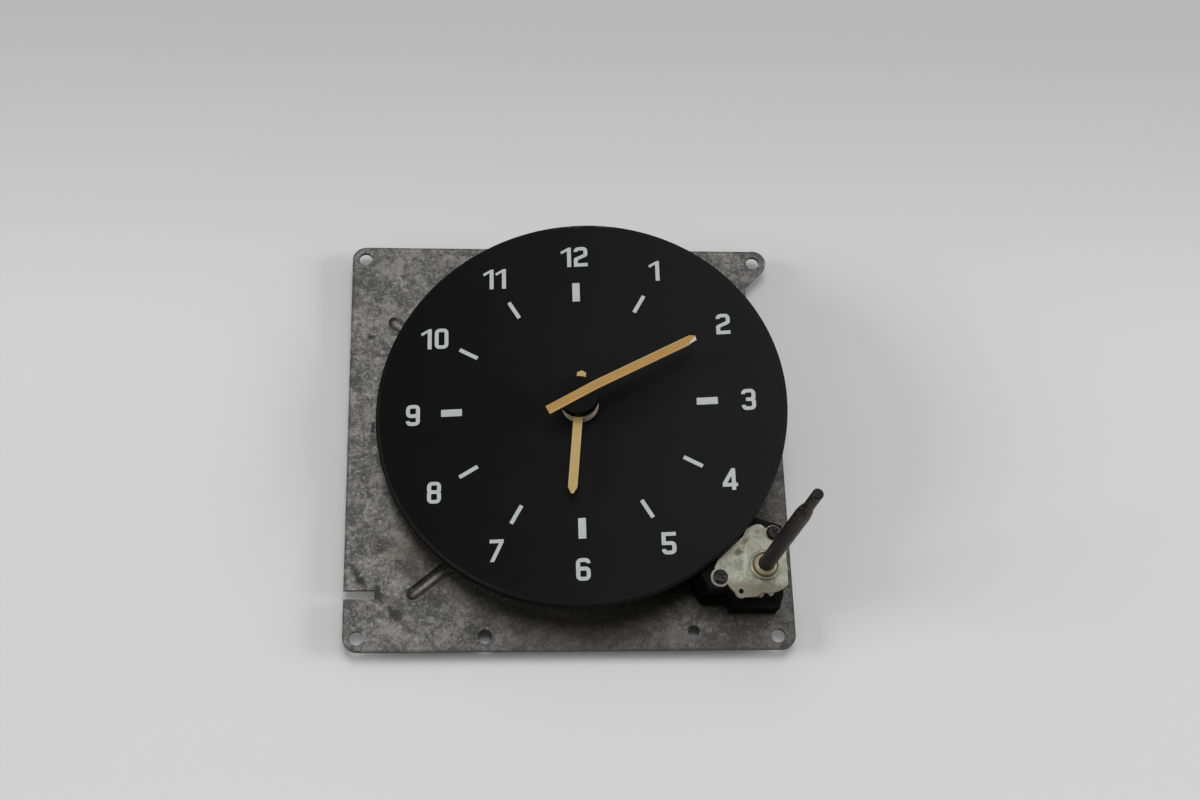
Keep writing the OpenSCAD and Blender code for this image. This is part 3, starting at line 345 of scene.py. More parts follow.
# Outline and holes of each digit, with its lower left corner at zero
SIX = [[(0, 0, R), (3.4, 0, R), (3.4, 3.4, R), (S, 3.4, 0.1), (S, 4.55, N), (2.45, 4.55, N), (2.45, 4.2, 0.1),
        (3.4, 4.2, 0.1), (3.4, 5.5, R), (0, 5.5, R)],
       [(S, 0.93, N), (2.45, 0.93, N), (2.45, 2.45, N), (S, 2.45, N)]]
DIGITS = {
    "0": [[(0, 0, R), (3.4, 0, R), (3.4, 5.5, R), (0, 5.5, R)],
          [(S, 0.93, N), (2.45, 0.93, N), (2.45, 4.57, N), (S, 4.57, N)]],
    "1": [[(0, 0, 0.1), (1, 0, 0.1), (1, 5.5, 0.1), (0.35, 5.5, 0.2), (-1.72, 4.35, 0.1), (-1.38, 3.72, 0.1),
           (0, 4.6, 0.1)]],
    "2": [[(0, 0), (3.45, 0), (3.45, 0.93), (1, 0.93), (1, 1.85, N), (3.45, 2.9, 0.9), (3.45, 5.5, R),
           (0, 5.5, R), (0, 4.2, 0.1), (S, 4.2, 0.1), (S, 4.57, N), (2.48, 4.57, N), (2.48, 3.45, 0.4),
           (0, 2.4, 0.6)]],
    "3": [[(0, 1.35, 0.1), (0, 0, R), (3.45, 0, R), (3.45, 2.58, 0.5), (3.15, 2.78, 0.05), (3.45, 2.98, 0.5),
           (3.45, 5.5, R), (0, 5.5, R), (0, 4.2, 0.1), (S, 4.2, 0.1), (S, 4.57, N), (2.48, 4.57, N),
           (2.48, 3.25, N), (1.1, 3.25, 0.1), (1.1, 2.32, 0.1), (2.48, 2.32, N), (2.48, 0.93, N),
           (S, 0.93, N), (S, 1.35, 0.1)]],
    "4": [[(2.15, 0, 0.1), (3.12, 0, 0.1), (3.12, 0.9), (3.6, 0.9, 0.1), (3.6, 1.8, 0.1), (3.12, 1.8),
           (3.12, 5.5, 0.1), (2.2, 5.5, 0.2), (0, 1.8, 0.2), (0, 0.9, 0.1), (2.15, 0.9)],
          [(1.12, 1.8, 0.05), (2.15, 1.8, 0.05), (2.15, 3.6, 0.05)]],
    "5": [[(0, 1.35, 0.1), (0, 0, R), (3.4, 0, R), (3.4, 3.25, R), (S, 3.25, 0.1), (S, 4.57, 0.1),
           (3.4, 4.57, 0.1), (3.4, 5.5, 0.1), (0, 5.5, 0.1), (0, 2.32, 0.1), (2.42, 2.32, N), (2.42, 0.93, N),
           (S, 0.93, N), (S, 1.35, 0.1)]],
    "6": SIX,
    "7": [[(0.05, 0, 0.1), (1.03, 0, 0.1), (3.35, 4.85, 0.1), (3.35, 5.5, 0.1), (0, 5.5, 0.1), (0, 4.6, 0.1),
           (2.25, 4.6, 0.1)]],
    "8": [[(0, 0, R), (3.35, 0, R), (3.35, 2.7, 0.5), (3.1, 2.9, 0.05), (3.35, 3.1, 0.5), (3.35, 5.5, R),
           (0, 5.5, R), (0, 3.1, 0.5), (0.25, 2.9, 0.05), (0, 2.7, 0.5)],
          [(S, 0.9, N), (2.4, 0.9, N), (2.4, 2.45, N), (S, 2.45, N)],
          [(S, 3.35, N), (2.4, 3.35, N), (2.4, 4.6, N), (S, 4.6, N)]],
    "9": [[(3.4 - x, DIGIT_H - y, r) for x, y, r in loop] for loop in SIX],
}
# Shift of each numeral's middle from its place on the circle, and the digits with their own shifts
NUMERALS = {
    1: ((-0.89, 0.54), [("1", -0.14)]), 2: ((0.5, -0.05), [("2", 0)]), 3: ((0.05, -0.05), [("3", 0)]),
    4: ((-0.1, 0.1), [("4", 0)]), 5: ((-0.28, -0.2), [("5", 0)]), 6: ((-0.05, -0.18), [("6", 0)]),
    7: ((0.15, -0.15), [("7", 0)]), 8: ((0.2, 0.1), [("8", 0)]), 9: ((0.37, -0.1), [("9", 0)]),
    10: ((0.03, -0.3), [("1", 0), ("0", 1.75)]), 11: ((0, 0.47), [("1", 0), ("1", 3.1)]),
    12: ((-0.37, 0.12), [("1", 0), ("2", 1.7)]),
}


def numeral(number):
    """Solids of one numeral, centred on its measured place."""
    shift, digits = NUMERALS[number]
    loops = [[rounded([(c[0] + dx, *c[1:]) for c in loop]) for loop in DIGITS[d]] for d, dx in digits]
    xs = [p.x for digit in loops for p in digit[0]]
    a = math.radians(90 - 30 * number)
    middle = Vector((NUMERAL_C[0] + NUMERAL_R * math.cos(a) + shift[0] - (min(xs) + max(xs)) / 2,
                     NUMERAL_C[1] + NUMERAL_R * math.sin(a) + shift[1] - DIGIT_H / 2))
    return [slab([[p + middle for p in loop] for loop in digit], -PRINT_SINK, PRINT_T, DIAL)
            for digit in loops]


# ---------------------------------------------------------------- materials
def srgb(r, g, b):
    """Linear colour from display values of 0 to 255."""
    return tuple(c / 255 / 12.92 if c <= 10 else ((c / 255 + 0.055) / 1.055) ** 2.4 for c in (r, g, b))


def scaled(color, k):
    return tuple(c * k for c in color)


def galvanised_sheet():
    """Mottled zinc on the base plate, with painted shade that darkens it towards the lower right and under
    the dial's lower rim.
    """
    t = Tree("galvanised_sheet")
    x, y, _ = t.parts(t.place)
    warp = t.vector("ADD", t.place, t.vector("SCALE", t.noise(0.5, 2, out="Color"), scale=1.4))
    patches = t.noise(0.13, 4, 0.55)
    grain = t.noise(1.3, 4, 0.65, at=warp, seed=7)
    cells = t.cells(0.7, at=warp, feature="SMOOTH_F1", out="Color")
    tone = (patches * 0.38 + grain * 0.46 + t.parts(cells)[0] * 0.16).step(0.39, 0.61)
    color = t.mix(tone, srgb(63, 63, 61), srgb(99, 98, 94))
    flecks = t.noise(1.25, 4, 0.65, at=warp, seed=31).step(0.56, 0.63)
    color = t.mix(flecks * 0.55, color, srgb(130, 130, 126))
    gaps = t.noise(1.4, 4, 0.65, at=warp, seed=53).step(0.57, 0.64)
    color = t.mix(gaps * 0.55, color, srgb(43, 43, 41))
    brown = t.blob(x, y, -37, -29, 12, 6, 60, 0.7) * t.noise(0.25, 3, seed=3).step(0.4, 0.6)
    color = t.mix(brown * 0.35, color, srgb(98, 86, 77))
    # darker, mottled patch along the middle of the plate's lower strip
    dark_patches = t.blob(x, y, 4, -48, 17, 7, 0, 0.7) * (0.55 + t.noise(0.35, 3, seed=12).step(0.35, 0.6) * 0.45)
    color = t.mix(dark_patches * 0.6, color, srgb(52, 51, 48))
    shaded = (x * 0.55 - y * 0.84).step(4, 48)
    color = t.mix(shaded * 0.55, color, srgb(40, 39, 37))
    dial_x, dial_y = x - DIAL_X, y - DIAL_Y
    reach = distance(dial_x, dial_y)
    below = ((dial_x * -0.342 - dial_y * 0.94) / reach).step(0.68, 0.88)
    # painted shade: a darker band on the plate just outside the dial's lower rim
    under_rim_shade = (reach + (patches - 0.5) * 8).step(60.5, 54.5) * reach.step(48, 51) * below
    color = t.mix(under_rim_shade * 0.52, color, srgb(34, 33, 31))
    wave = (t.noise(0.7, 3, seed=5) - 0.5) * 2.2
    smudges = ((-49.8, -34.9, 2.8, 0.8, -57, 0.5), (-45.1, -39.4, 2.4, 1.1, -66, 0.5),
               (-41.2, -44.2, 2.2, 0.9, -48, 0.5), (-48, 28, 0.7, 0.5, 0, 0.5),
               (-47.2, 3.2, 0.35, 1.6, 5, 0.3))
    smudge = most(*(t.blob(x + wave, y + wave, *s) for s in smudges))
    color = t.mix(smudge * 0.85, color, srgb(46, 46, 44))
    # painted shade on the walls and ends of the pressed grooves
    groove_shade = most(t.blob(x, y, -33.1, -34.3, 8, 0.4, 39), t.blob(x, y, -37.3, -39.5, 1.3, 1.2, 39),
                   t.blob(x, y, -29.7, -35.4, 7, 0.9, 39, 0.8) * 0.6,
                   t.blob(x, y, -43, 32.6, 0.5, 1.5, -20))
    color = t.mix(groove_shade * 0.45, color, srgb(40, 39, 37))
    # painted highlight along the floors of the pressed grooves
    painted_highlight = t.blob(x, y, -33.5, -36.6, 4, 0.45, 39, 0.6).high(t.blob(x, y, -40.6, 31, 2, 0.4, -36, 0.6))
    color = t.mix(painted_highlight * 0.4, color, srgb(140, 139, 132))
    pits = t.cells(0.55, seed=4).step(0.16, 0.06) * t.noise(0.3, 2, seed=9).step(0.52, 0.62)
    color = t.mix(pits * 0.4, color, srgb(46, 45, 43))
    scratch = (t.noise(0.22, 2, stretch=(1, 9, 1), seed=21) - 0.5).abs().step(0.004, 0.001)
    color = t.mix(scratch * 0.3, color, srgb(150, 150, 147))
    # distance from the plate's outline, below zero inside
    out_x = (x - SHEET_X).abs() - (SHEET_HALF_X - SHEET_R)
    out_y = y.abs() - (SHEET_HALF_Y - SHEET_R)
    outline = distance(out_x.high(0.0), out_y.high(0.0)) + out_x.high(out_y).low(0.0) - SHEET_R
    rim = outline.step(-0.75, -0.25) * (0.4 + t.noise(0.5, 3, seed=44).step(0.4, 0.6) * 0.6)
    color = t.mix(rim * 0.6, color, srgb(44, 43, 41))
    # painted shade on the plate's side faces
    side = t.up().abs().step(0.7, 0.3)
    color = t.mix(side * 0.8, color, srgb(42, 41, 39))
    height = grain * 0.5 + flecks * 0.2 - pits * 0.6
    return t.finish(color, 0.52 - tone * 0.06 + smudge * 0.1, 0.8, t.bump(height, 0.15, 0.05))


def dial_paint():
    """Matt black with painted sheen that makes it paler towards the right, dust, painted highlights on the
    rim's edge and foot, a little wear on the rim and a scuff over the 12.
    """
    t = Tree("matt_dial_paint")
    place = t.local(DIAL)
    x, y, z = t.parts(place)
    r = distance(x, y)
    cloud = t.noise(0.06, 4, 0.6)
    grain = t.noise(7, 3, 0.6)
    # painted sheen: the black is paler towards the right
    tone = (x + (cloud - 0.5) * 40.0).step(-60, 60)
    color = t.mix(tone, (0.0038, 0.0038, 0.0039), (0.0118, 0.0118, 0.0121))
    dust = t.cells(1.1, at=place).step(0.075, 0.03) * t.noise(0.3, 2, seed=5).step(0.54, 0.66)
    color = t.mix(dust * 0.12, color, srgb(72, 72, 70))
    hair = (t.noise(0.3, 2, at=place, stretch=(1, 12, 1), seed=9) - 0.5).abs().step(0.003, 0.001)
    color = t.mix(hair * 0.03, color, srgb(100, 100, 98))
    edge = r.step(48.9, 49.2) * r.step(49.85, 49.5) * z.step(-0.7, -0.1)
    worn = edge * t.noise(0.4, 4, 0.6, seed=3).step(0.4, 0.6)
    # painted highlight along the rim's edge on the lower left, plus a little wear all round the edge
    low_left = (x * 0.87 + y * 0.5).step(-32, -46)
    color = t.mix(edge * low_left * 0.22 + worn * 0.04, color, srgb(52, 51, 48))
    scuff = (t.blob(x, y, -1.5, 49.75, 4.5, 0.5, 0, 0.5).high(t.blob(x, y, 7, 49.3, 2.2, 0.5, -8, 0.5))
             * t.noise(1.6, 3, seed=6).step(0.45, 0.6) * z.step(-0.5, -0.1))
    color = t.mix(scuff * 0.4, color, srgb(110, 106, 96))
    # painted highlight at the foot of the rim wall
    lip = z.step(-1.9, -2.3)
    color = t.mix(lip * 0.25, color, srgb(50, 49, 47))
    return t.finish(color, 0.6 + (cloud - 0.5) * 0.14 - worn * 0.1, 0.0, t.bump(grain, 0.25, 0.02),
                    Specular_IOR_Level=0.03)


def printed_ink():
    t = Tree("dial_ink")
    cloud = t.noise(0.9, 4, 0.6)
    specks = t.noise(5, 3, 0.6, seed=2)
    color = t.mix(cloud.step(0.3, 0.7), srgb(168, 174, 172), srgb(177, 183, 182))
    color = t.mix(specks.step(0.62, 0.75) * 0.3, color, srgb(128, 130, 128))
    return t.finish(color, 0.55 + (cloud - 0.5) * 0.2, 0.0, t.bump(specks, 0.15, 0.02),
                    Specular_IOR_Level=0.15)


def lacquered_hand(name, color, frame_of, half, chip=None):
    """Hand strip with x along it; half is half its width. A chip in the lacquer starts at x0 and y0, widens
    along a slope and ends at the tip, where bare metal shows."""
    t = Tree(name)
    place = t.local(frame_of)
    x, y, _ = t.parts(place)
    cloud = t.noise(0.7, 4, 0.6, at=place, stretch=(0.5, 1, 1))
    streak = t.noise(2.2, 4, 0.6, at=place, stretch=(0.12, 1, 1), seed=4)
    base = t.mix((cloud * 0.5 + streak * 0.5).step(0.36, 0.64), scaled(color, 0.9), scaled(color, 1.07))
    pink = t.noise(1.1, 3, 0.6, at=place, stretch=(0.35, 1, 1), seed=15).step(0.46, 0.6)
    base = t.mix(pink * 0.4, base, (color[0] * 1.1, color[1] * 0.86, color[2] * 1.15))
    speck = t.noise(3.4, 3, 0.6, seed=8).step(0.64, 0.74)
    base = t.mix(speck * 0.35, base, scaled(color, 0.5))
    # painted highlight along both edges of the hand
    edge = y.abs().step(half - 0.35, half - 0.05)
    base = t.mix(edge * 0.5, base, srgb(186, 158, 118))
    # painted shade on the hand's side faces
    side = t.up().step(0.8, 0.3)
    base = t.mix(side * 0.6, base, scaled(color, 0.45))
    rough = 0.5 + (cloud - 0.5) * 0.2
    if chip:
        x0, y0, slope, width, tip = chip
        bare = ((x - x0) * slope + y0 + width - y).step(-0.1, 0.1) * x.step(x0 - 0.1, x0 + 0.3)
        flap = x.step(tip - 5.2, tip - 4.8) * y.step(-0.55, -0.8)
        base = t.mix(flap * 0.7, base, srgb(160, 134, 116))
        metal = t.mix(x.step(tip - 2.2, tip - 1.6), srgb(160, 134, 116), srgb(222, 222, 220))
        base = t.mix(bare, base, metal)
    return t.finish(base, rough, 0.0, t.bump(streak + speck * 0.5, 0.2, 0.03), Specular_IOR_Level=0.2)


def turned_hub(name, dark, light, rough, level):
    """Moulded hub with faint turning marks round the dial's axis."""
    t = Tree(name)
    x, y, _ = t.parts(t.local(DIAL))
    rings = (distance(x, y) * 9.0).sin() * 0.5 + 0.5
    cloud = t.noise(0.8, 4, 0.6, seed=3)
    color = t.mix((cloud * 0.75 + rings * 0.25).step(0.25, 0.7), dark, light)
    stain = t.noise(1.6, 3, 0.6, seed=11).step(0.6, 0.72)
    color = t.mix(stain * 0.35, color, scaled(dark, 0.6))
    return t.finish(color, rough + (cloud - 0.5) * 0.2, 0.0, t.bump(rings * 0.4 + cloud, 0.15, 0.03),
                    Specular_IOR_Level=level)


def black_moulding():
    t = Tree("black_moulding")
    cloud = t.noise(0.25, 4, 0.6)
    grain = t.noise(4.5, 3, 0.65)
    color = t.mix(cloud.step(0.3, 0.7), (0.0014, 0.0014, 0.0014), (0.0036, 0.0035, 0.0034))
    dust = t.noise(1.3, 4, 0.7, seed=5).step(0.56, 0.72) * t.up().step(0.4, 0.9)
    color = t.mix(dust * 0.2, color, srgb(48, 46, 43))
    return t.finish(color, 0.55 + (grain - 0.5) * 0.2, 0.0, t.bump(grain, 0.3, 0.03), Specular_IOR_Level=0.07)


def plated_cover():
    t = Tree("plated_cover")
    unit_x, unit_y, _ = t.parts(t.local(UNIT))
    r = distance(unit_x, unit_y)
    x, y, _ = t.parts(t.local(CASE))
    cloud = t.noise(0.3, 4, 0.6)
    grain = t.noise(1.8, 4, 0.65, seed=6)
    color = t.mix((cloud * 0.5 + grain * 0.5).step(0.38, 0.62), srgb(124, 124, 108), srgb(168, 171, 155))
    green = t.noise(0.2, 3, seed=17).step(0.48, 0.64)
    color = t.mix(green * 0.35, color, srgb(140, 152, 136))
    tan = t.noise(0.28, 3, seed=23).step(0.5, 0.66)
    color = t.mix(tan * 0.4, color, srgb(140, 126, 100))
    brown = (y + (cloud - 0.5) * 4.0).step(-2.5, -6.0)
    color = t.mix(brown * 0.75, color, srgb(100, 93, 78))
    speckle = t.noise(2.1, 4, 0.7, seed=31).step(0.56, 0.66)
    rim = (x * 0.72 - y * 0.69).step(-4.6, -9.0)
    color = t.mix(speckle * (rim * 0.65 + 0.15), color, srgb(92, 74, 55))
    wave = (grain - 0.5) * 1.6
    stain = most(t.blob(x + wave, y + wave, -6.48, 2.94, 1.1, 0.75, 30, 0.6),
                 t.blob(x + wave, y - wave, -4.65, 5.61, 1.0, 0.6, 50, 0.6) * 0.7,
                 t.blob(x, y + wave, -1.5, 8.2, 0.5, 0.4, 0, 0.5) * 0.6)
    color = t.mix(stain * 0.75, color, srgb(74, 58, 42))
    gutter = r.step(4.2, 3.75) * r.step(3.5, 3.7)
    color = t.mix(gutter * 0.35, color, srgb(112, 100, 80))
    # painted shade at the collar's inner edge on the lower left, in the gap to the bush
    lip = r.step(3.3, 3.14) * (unit_x * 0.8 + unit_y * 0.6).step(1.5, -1.5)
    color = t.mix(lip * 0.7, color, srgb(60, 52, 40))
    # painted highlight on the cover left of the collar
    painted_highlight = t.blob(unit_x + wave * 0.3, unit_y, -4.6, 0.9, 2.4, 0.45, 82, 0.8)
    color = t.mix(painted_highlight * 0.5, color, srgb(196, 198, 188))
    # painted light: the cover's side faces are lightened
    side = t.parts(t.local_normal(UNIT))[2].step(0.7, 0.2)
    color = t.mix(side * 0.35, color, srgb(178, 176, 166))
    return t.finish(color, 0.5 + (cloud - 0.5) * 0.25 + stain * 0.2, 0.35,
                    t.bump(grain + speckle * 0.5, 0.3, 0.05))


def blackened_screw(name, dark, light, worn, metallic):
    t = Tree(name)
    cloud = t.noise(1.4, 4, 0.6)
    grain = t.noise(5, 3, 0.6)
    color = t.mix(cloud.step(0.35, 0.65), dark, light)
    scuff = t.noise(2.4, 3, 0.65, seed=14).step(0.53, 0.6)
    color = t.mix(scuff * 0.7, color, worn)
    return t.finish(color, 0.46 + (cloud - 0.5) * 0.25, metallic, t.bump(grain + scuff, 0.3, 0.03),
                    Specular_IOR_Level=0.25)


def tan_bush():
    t = Tree("tan_bush")
    x, y, _ = t.parts(t.local(UNIT))
    r = distance(x, y)
    cloud = t.noise(0.9, 4, 0.6)
    rings = (r * 16.0).sin() * 0.5 + 0.5
    color = t.mix((cloud * 0.8 + rings * 0.2).step(0.3, 0.7), srgb(134, 122, 92), srgb(164, 152, 118))
    # painted shade in the gap round the shaft and, on the lower left, in the crevice to the collar
    low_left = (x * 0.8 + y * 0.6).step(0, -2.4)
    dirt_and_gap_shade = (r.step(2.05, 1.85) * 0.5).high(r.step(2.75, 2.95) * low_left)
    color = t.mix(dirt_and_gap_shade * 0.7, color, srgb(52, 43, 30))
    speck = t.noise(3.2, 3, 0.6, seed=7).step(0.6, 0.7)
    color = t.mix(speck * 0.35, color, srgb(84, 68, 46))
    return t.finish(color, 0.6 + (cloud - 0.5) * 0.2, 0.0, t.bump(cloud + rings * 0.3, 0.2, 0.04))


def bronzed_shaft():
    """Brown-black shaft with worn specks, more on its shoulder and thin end, and pale specks of painted
    highlight on its right side.
    """
    t = Tree("bronzed_shaft")
    place = t.local(UNIT)
    x, y, z = t.parts(place)
    streak = t.noise(1.5, 4, 0.65, at=place, stretch=(1, 1, 0.06))
    cloud = t.noise(0.35, 4, 0.6, at=place, stretch=(1, 1, 0.4), seed=5)
    color = t.mix((streak * 0.6 + cloud * 0.4).step(0.35, 0.65), srgb(5, 4, 4), srgb(19, 16, 14))
    # painted highlight: more pale specks on the side facing +X, over real worn specks
    right = t.parts(t.local_normal(UNIT))[0].step(-0.5, 0.9)
    thin, shoulder = z.step(51, 52.5), z.step(43, 47) * z.step(53, 51.5)
    speck = t.noise(2.4, 3, 0.6, at=place, stretch=(1, 1, 0.45), seed=33).step(0.54, 0.6)
    color = t.mix(speck * (0.12 + right * 0.5 + shoulder * 0.35 + thin * 0.2), color, srgb(96, 84, 68))
    marks = t.noise(1.1, 3, 0.6, at=place, stretch=(0.25, 0.25, 7), seed=2)
    band = z.step(38, 43) * z.step(52.5, 49.5)
    color = t.mix(marks.step(0.56, 0.64) * band * 0.3, color, srgb(96, 84, 66))
    rust = t.noise(0.8, 4, 0.6, seed=19).step(0.58, 0.7)
    color = t.mix(rust * 0.3, color, srgb(46, 34, 24))
    # painted highlight: pale specks on the thin end's side facing +X
    pale = t.noise(4.5, 3, 0.6, seed=27).step(0.56, 0.66) * thin * right
    color = t.mix(pale * 0.5, color, srgb(112, 100, 98))
    face = z.step(60.55, 60.7) * distance(x, y).step(1.2, 1.05)
    color = t.mix(face * 0.85, color, srgb(8, 7, 7))
    return t.finish(color, 0.5 + (cloud - 0.5) * 0.2 + rust * 0.1, 0.2,
                    t.bump(streak + marks * band, 0.3, 0.04), Specular_IOR_Level=0.25)


def pale_moulding(name, dark, light, dirt_and_gap_shade):
    t = Tree(name)
    cloud = t.noise(0.4, 4, 0.6)
    grain = t.noise(3, 3, 0.6, seed=3)
    color = t.mix((cloud * 0.7 + grain * 0.3).step(0.35, 0.65), dark, light)
    dark_patches = t.noise(1.1, 4, 0.7, seed=9).step(0.56, 0.7)
    color = t.mix(dark_patches * 0.4, color, dirt_and_gap_shade)
    return t.finish(color, 0.5 + (grain - 0.5) * 0.2, 0.0, t.bump(grain, 0.2, 0.03))


def drawn_metal(name, dark, light, tarnish, rough, along=(1, 1, 0.08)):
    """Metal with fine marks along one axis and a cloudy tarnish."""
    t = Tree(name)
    marks = t.noise(3.5, 4, 0.6, stretch=along)
    cloud = t.noise(0.3, 4, 0.6, seed=4)
    color = t.mix((marks * 0.5 + cloud * 0.5).step(0.35, 0.65), dark, light)
    stain = t.noise(0.7, 4, 0.65, seed=13).step(0.55, 0.7)
    color = t.mix(stain * 0.5, color, tarnish)
    return t.finish(color, rough + (marks - 0.5) * 0.25 + stain * 0.15, 1.0, t.bump(marks, 0.25, 0.02))


def capped_arbor():
    """Steel arbor whose end on the minute hub is blackened."""
    t = Tree("capped_arbor")
    height = t.parts(t.local(DIAL))[2]
    marks = t.noise(3.5, 4, 0.6, stretch=(1, 1, 0.08))
    cloud = t.noise(0.9, 4, 0.6, seed=4)
    steel = t.mix((marks * 0.5 + cloud * 0.5).step(0.35, 0.65), srgb(120, 121, 123), srgb(182, 183, 186))
    cap = t.mix(cloud.step(0.35, 0.65), (0.0022, 0.0022, 0.0024), (0.0056, 0.0056, 0.006))
    black = height.step(6.8, 7.0)
    return t.finish(t.mix(black, steel, cap), 0.4 + (marks - 0.5) * 0.2 + black * 0.1, 1 - black,
                    t.bump(marks, 0.25, 0.02), Specular_IOR_Level=0.05)


def green_board():
    t = Tree("green_board")
    x, y, _ = t.parts(t.local(DIAL))
    weave = (x * 14.0).sin() * (y * 14.0).sin()
    cloud = t.noise(0.3, 4, 0.6)
    color = t.mix(cloud.step(0.3, 0.7), srgb(34, 74, 44), srgb(52, 100, 58))
    lines = t.cells(0.24, feature="DISTANCE_TO_EDGE", seed=3).step(0.16, 0.2)
    color = t.mix(lines * 0.4, color, srgb(84, 132, 72))
    return t.finish(color, 0.4 + (cloud - 0.5) * 0.2, 0.0, t.bump(weave * 0.2 + lines, 0.3, 0.04),
                    Coat_Weight=0.3)


def wound_copper():
    t = Tree("wound_copper")
    cloud = t.noise(0.6, 4, 0.6)
    fine = t.noise(4, 3, 0.6, seed=5)
    color = t.mix((cloud * 0.6 + fine * 0.4).step(0.35, 0.65), srgb(120, 58, 28), srgb(190, 104, 56))
    return t.finish(color, 0.35 + (fine - 0.5) * 0.2, 0.8, t.bump(fine, 0.2, 0.02))


# Stretch of the marks of drawn metal
ALONG_X, ALONG_Y = (0.1, 1, 1), (1, 0.08, 1)
STEEL = drawn_metal("plain_steel", srgb(120, 121, 123), srgb(182, 183, 186), srgb(104, 92, 78), 0.4)
LOOKS = {
    "plate_steel": galvanised_sheet(),
    "dial_black": dial_paint(),
    "hub_black": turned_hub("minute_hub_black", (0.0022, 0.0022, 0.0024), (0.0052, 0.0052, 0.0055), 0.55,
                            0.04),
    "hub_pale": turned_hub("hour_hub_pale", srgb(106, 98, 84), srgb(158, 150, 132), 0.6, 0.2),
    "moulded_black": black_moulding(),
    "plated_cover": plated_cover(),
    "screw_black": blackened_screw("blackened_screws", srgb(18, 16, 17), srgb(34, 31, 32), srgb(74, 68, 65),
                                   0.3),
    "bush_tan": tan_bush(),
    "shaft_bronzed": bronzed_shaft(),
    "wheel_pale": pale_moulding("pale_wheel", srgb(150, 150, 132), srgb(188, 188, 170), srgb(108, 98, 76)),
    "brass": drawn_metal("movement_brass", srgb(150, 118, 62), srgb(206, 174, 104), srgb(112, 84, 44), 0.34,
                         ALONG_X),
    "steel": STEEL,
    "nylon": pale_moulding("natural_nylon", srgb(196, 192, 178), srgb(222, 219, 206), srgb(150, 140, 116)),
    "magnet": blackened_screw("sintered_magnet", srgb(44, 44, 47), srgb(70, 70, 74), srgb(96, 90, 84), 0.3),
    "iron": drawn_metal("soft_iron", srgb(96, 96, 98), srgb(140, 140, 142), srgb(92, 70, 52), 0.45, ALONG_X),
    "copper": wound_copper(),
    "board_green": green_board(),
    "chip_black": blackened_screw("chip_epoxy", srgb(26, 26, 27), srgb(40, 40, 41), srgb(62, 62, 60), 0.0),
    "can_steel": drawn_metal("quartz_can_steel", srgb(140, 141, 143), srgb(196, 197, 199),
                             srgb(120, 114, 104), 0.3, ALONG_X),
    "capacitor_blue": pale_moulding("capacitor_sleeve", srgb(30, 40, 86), srgb(44, 58, 112),
                                    srgb(24, 28, 50)),
    "tinned": drawn_metal("tinned_brass", srgb(142, 140, 130), srgb(188, 186, 176), srgb(128, 112, 84), 0.35,
                          ALONG_Y),
}
HOUR_HALF_W, MINUTE_HALF_W = 1.1, 1.12
OWN_LOOKS = {
    "minute_hand": lacquered_hand("minute_hand_lacquer", srgb(162, 128, 66), MINUTE_BENT, MINUTE_HALF_W,
                                  (MINUTE_L - 2.4, -MINUTE_HALF_W, 0.427, 0.2, MINUTE_L)),
    "hour_hand": lacquered_hand("hour_hand_lacquer", srgb(174, 151, 94), HOUR, HOUR_HALF_W),
    "centre_arbor": capped_arbor(),
}
for row in frame["record"]["subparts"]:
    node = row["node"]
    NODES[node].material_slots[0].material = OWN_LOOKS.get(node) or LOOKS[row["material_slot"]]


# ---------------------------------------------------------------- pieces
class Geo(Nodes):
    """A geometry node tree that is worked out once into a plain mesh."""

    def __init__(self, name):
        super().__init__(bpy.data.node_groups.new(name, "GeometryNodeTree"))
        self.name = name
        self.tree.interface.new_socket("Geometry", in_out="OUTPUT", socket_type="NodeSocketGeometry")
        self.entry = self.tree.nodes.new("NodeGroupInput")
        self.values = {}

    def value(self, name, kind, number):
        """A named input of the tree."""
        made = self.tree.interface.new_socket(name, in_out="INPUT", socket_type=kind)
        self.values[made.identifier] = number
        return Sock(self, next(s for s in self.entry.outputs if s.identifier == made.identifier))

    def bake(self, last, material, place, body, slot):
        """The piece that the tree gives, moved from its own millimetres to its place."""
        whole = self.node("GeometryNodeRealizeInstances", {0: last})
        painted = self.node("GeometryNodeSetMaterial", {"Geometry": whole, "Material": material})
        self.node("NodeGroupOutput", {0: painted})
        carrier = placed(self.name + "_tree", bpy.data.meshes.new(self.name + "_tree"))
        modifier = carrier.modifiers.new(self.name, "NODES")
        modifier.node_group = self.tree
        for identifier, number in self.values.items():
            modifier[identifier] = number
        carrier.update_tag()
        bpy.context.view_layer.update()
        shown = carrier.evaluated_get(bpy.context.evaluated_depsgraph_get())
        mesh = bpy.data.meshes.new_from_object(shown)
        bpy.data.objects.remove(carrier)
        mesh.name = self.name
        mesh.transform(Matrix.Scale(MM, 4) @ place)
        return riding(self.name, mesh, body)


def bar_shape(name, half):
    """One hour bar along +X, in millimetres, for the tree to repeat."""
    corners = [(sx * BAR_HALF_L, sy * half, BAR_CORNER) for sx, sy in ((-1, -1), (1, -1), (1, 1), (-1, 1))]
    points, faces = slab([rounded(corners, 3)], -PRINT_SINK, PRINT_T, Matrix.Scale(1 / MM, 4))
    return bpy.data.objects.new(name, closed(name, points, faces))


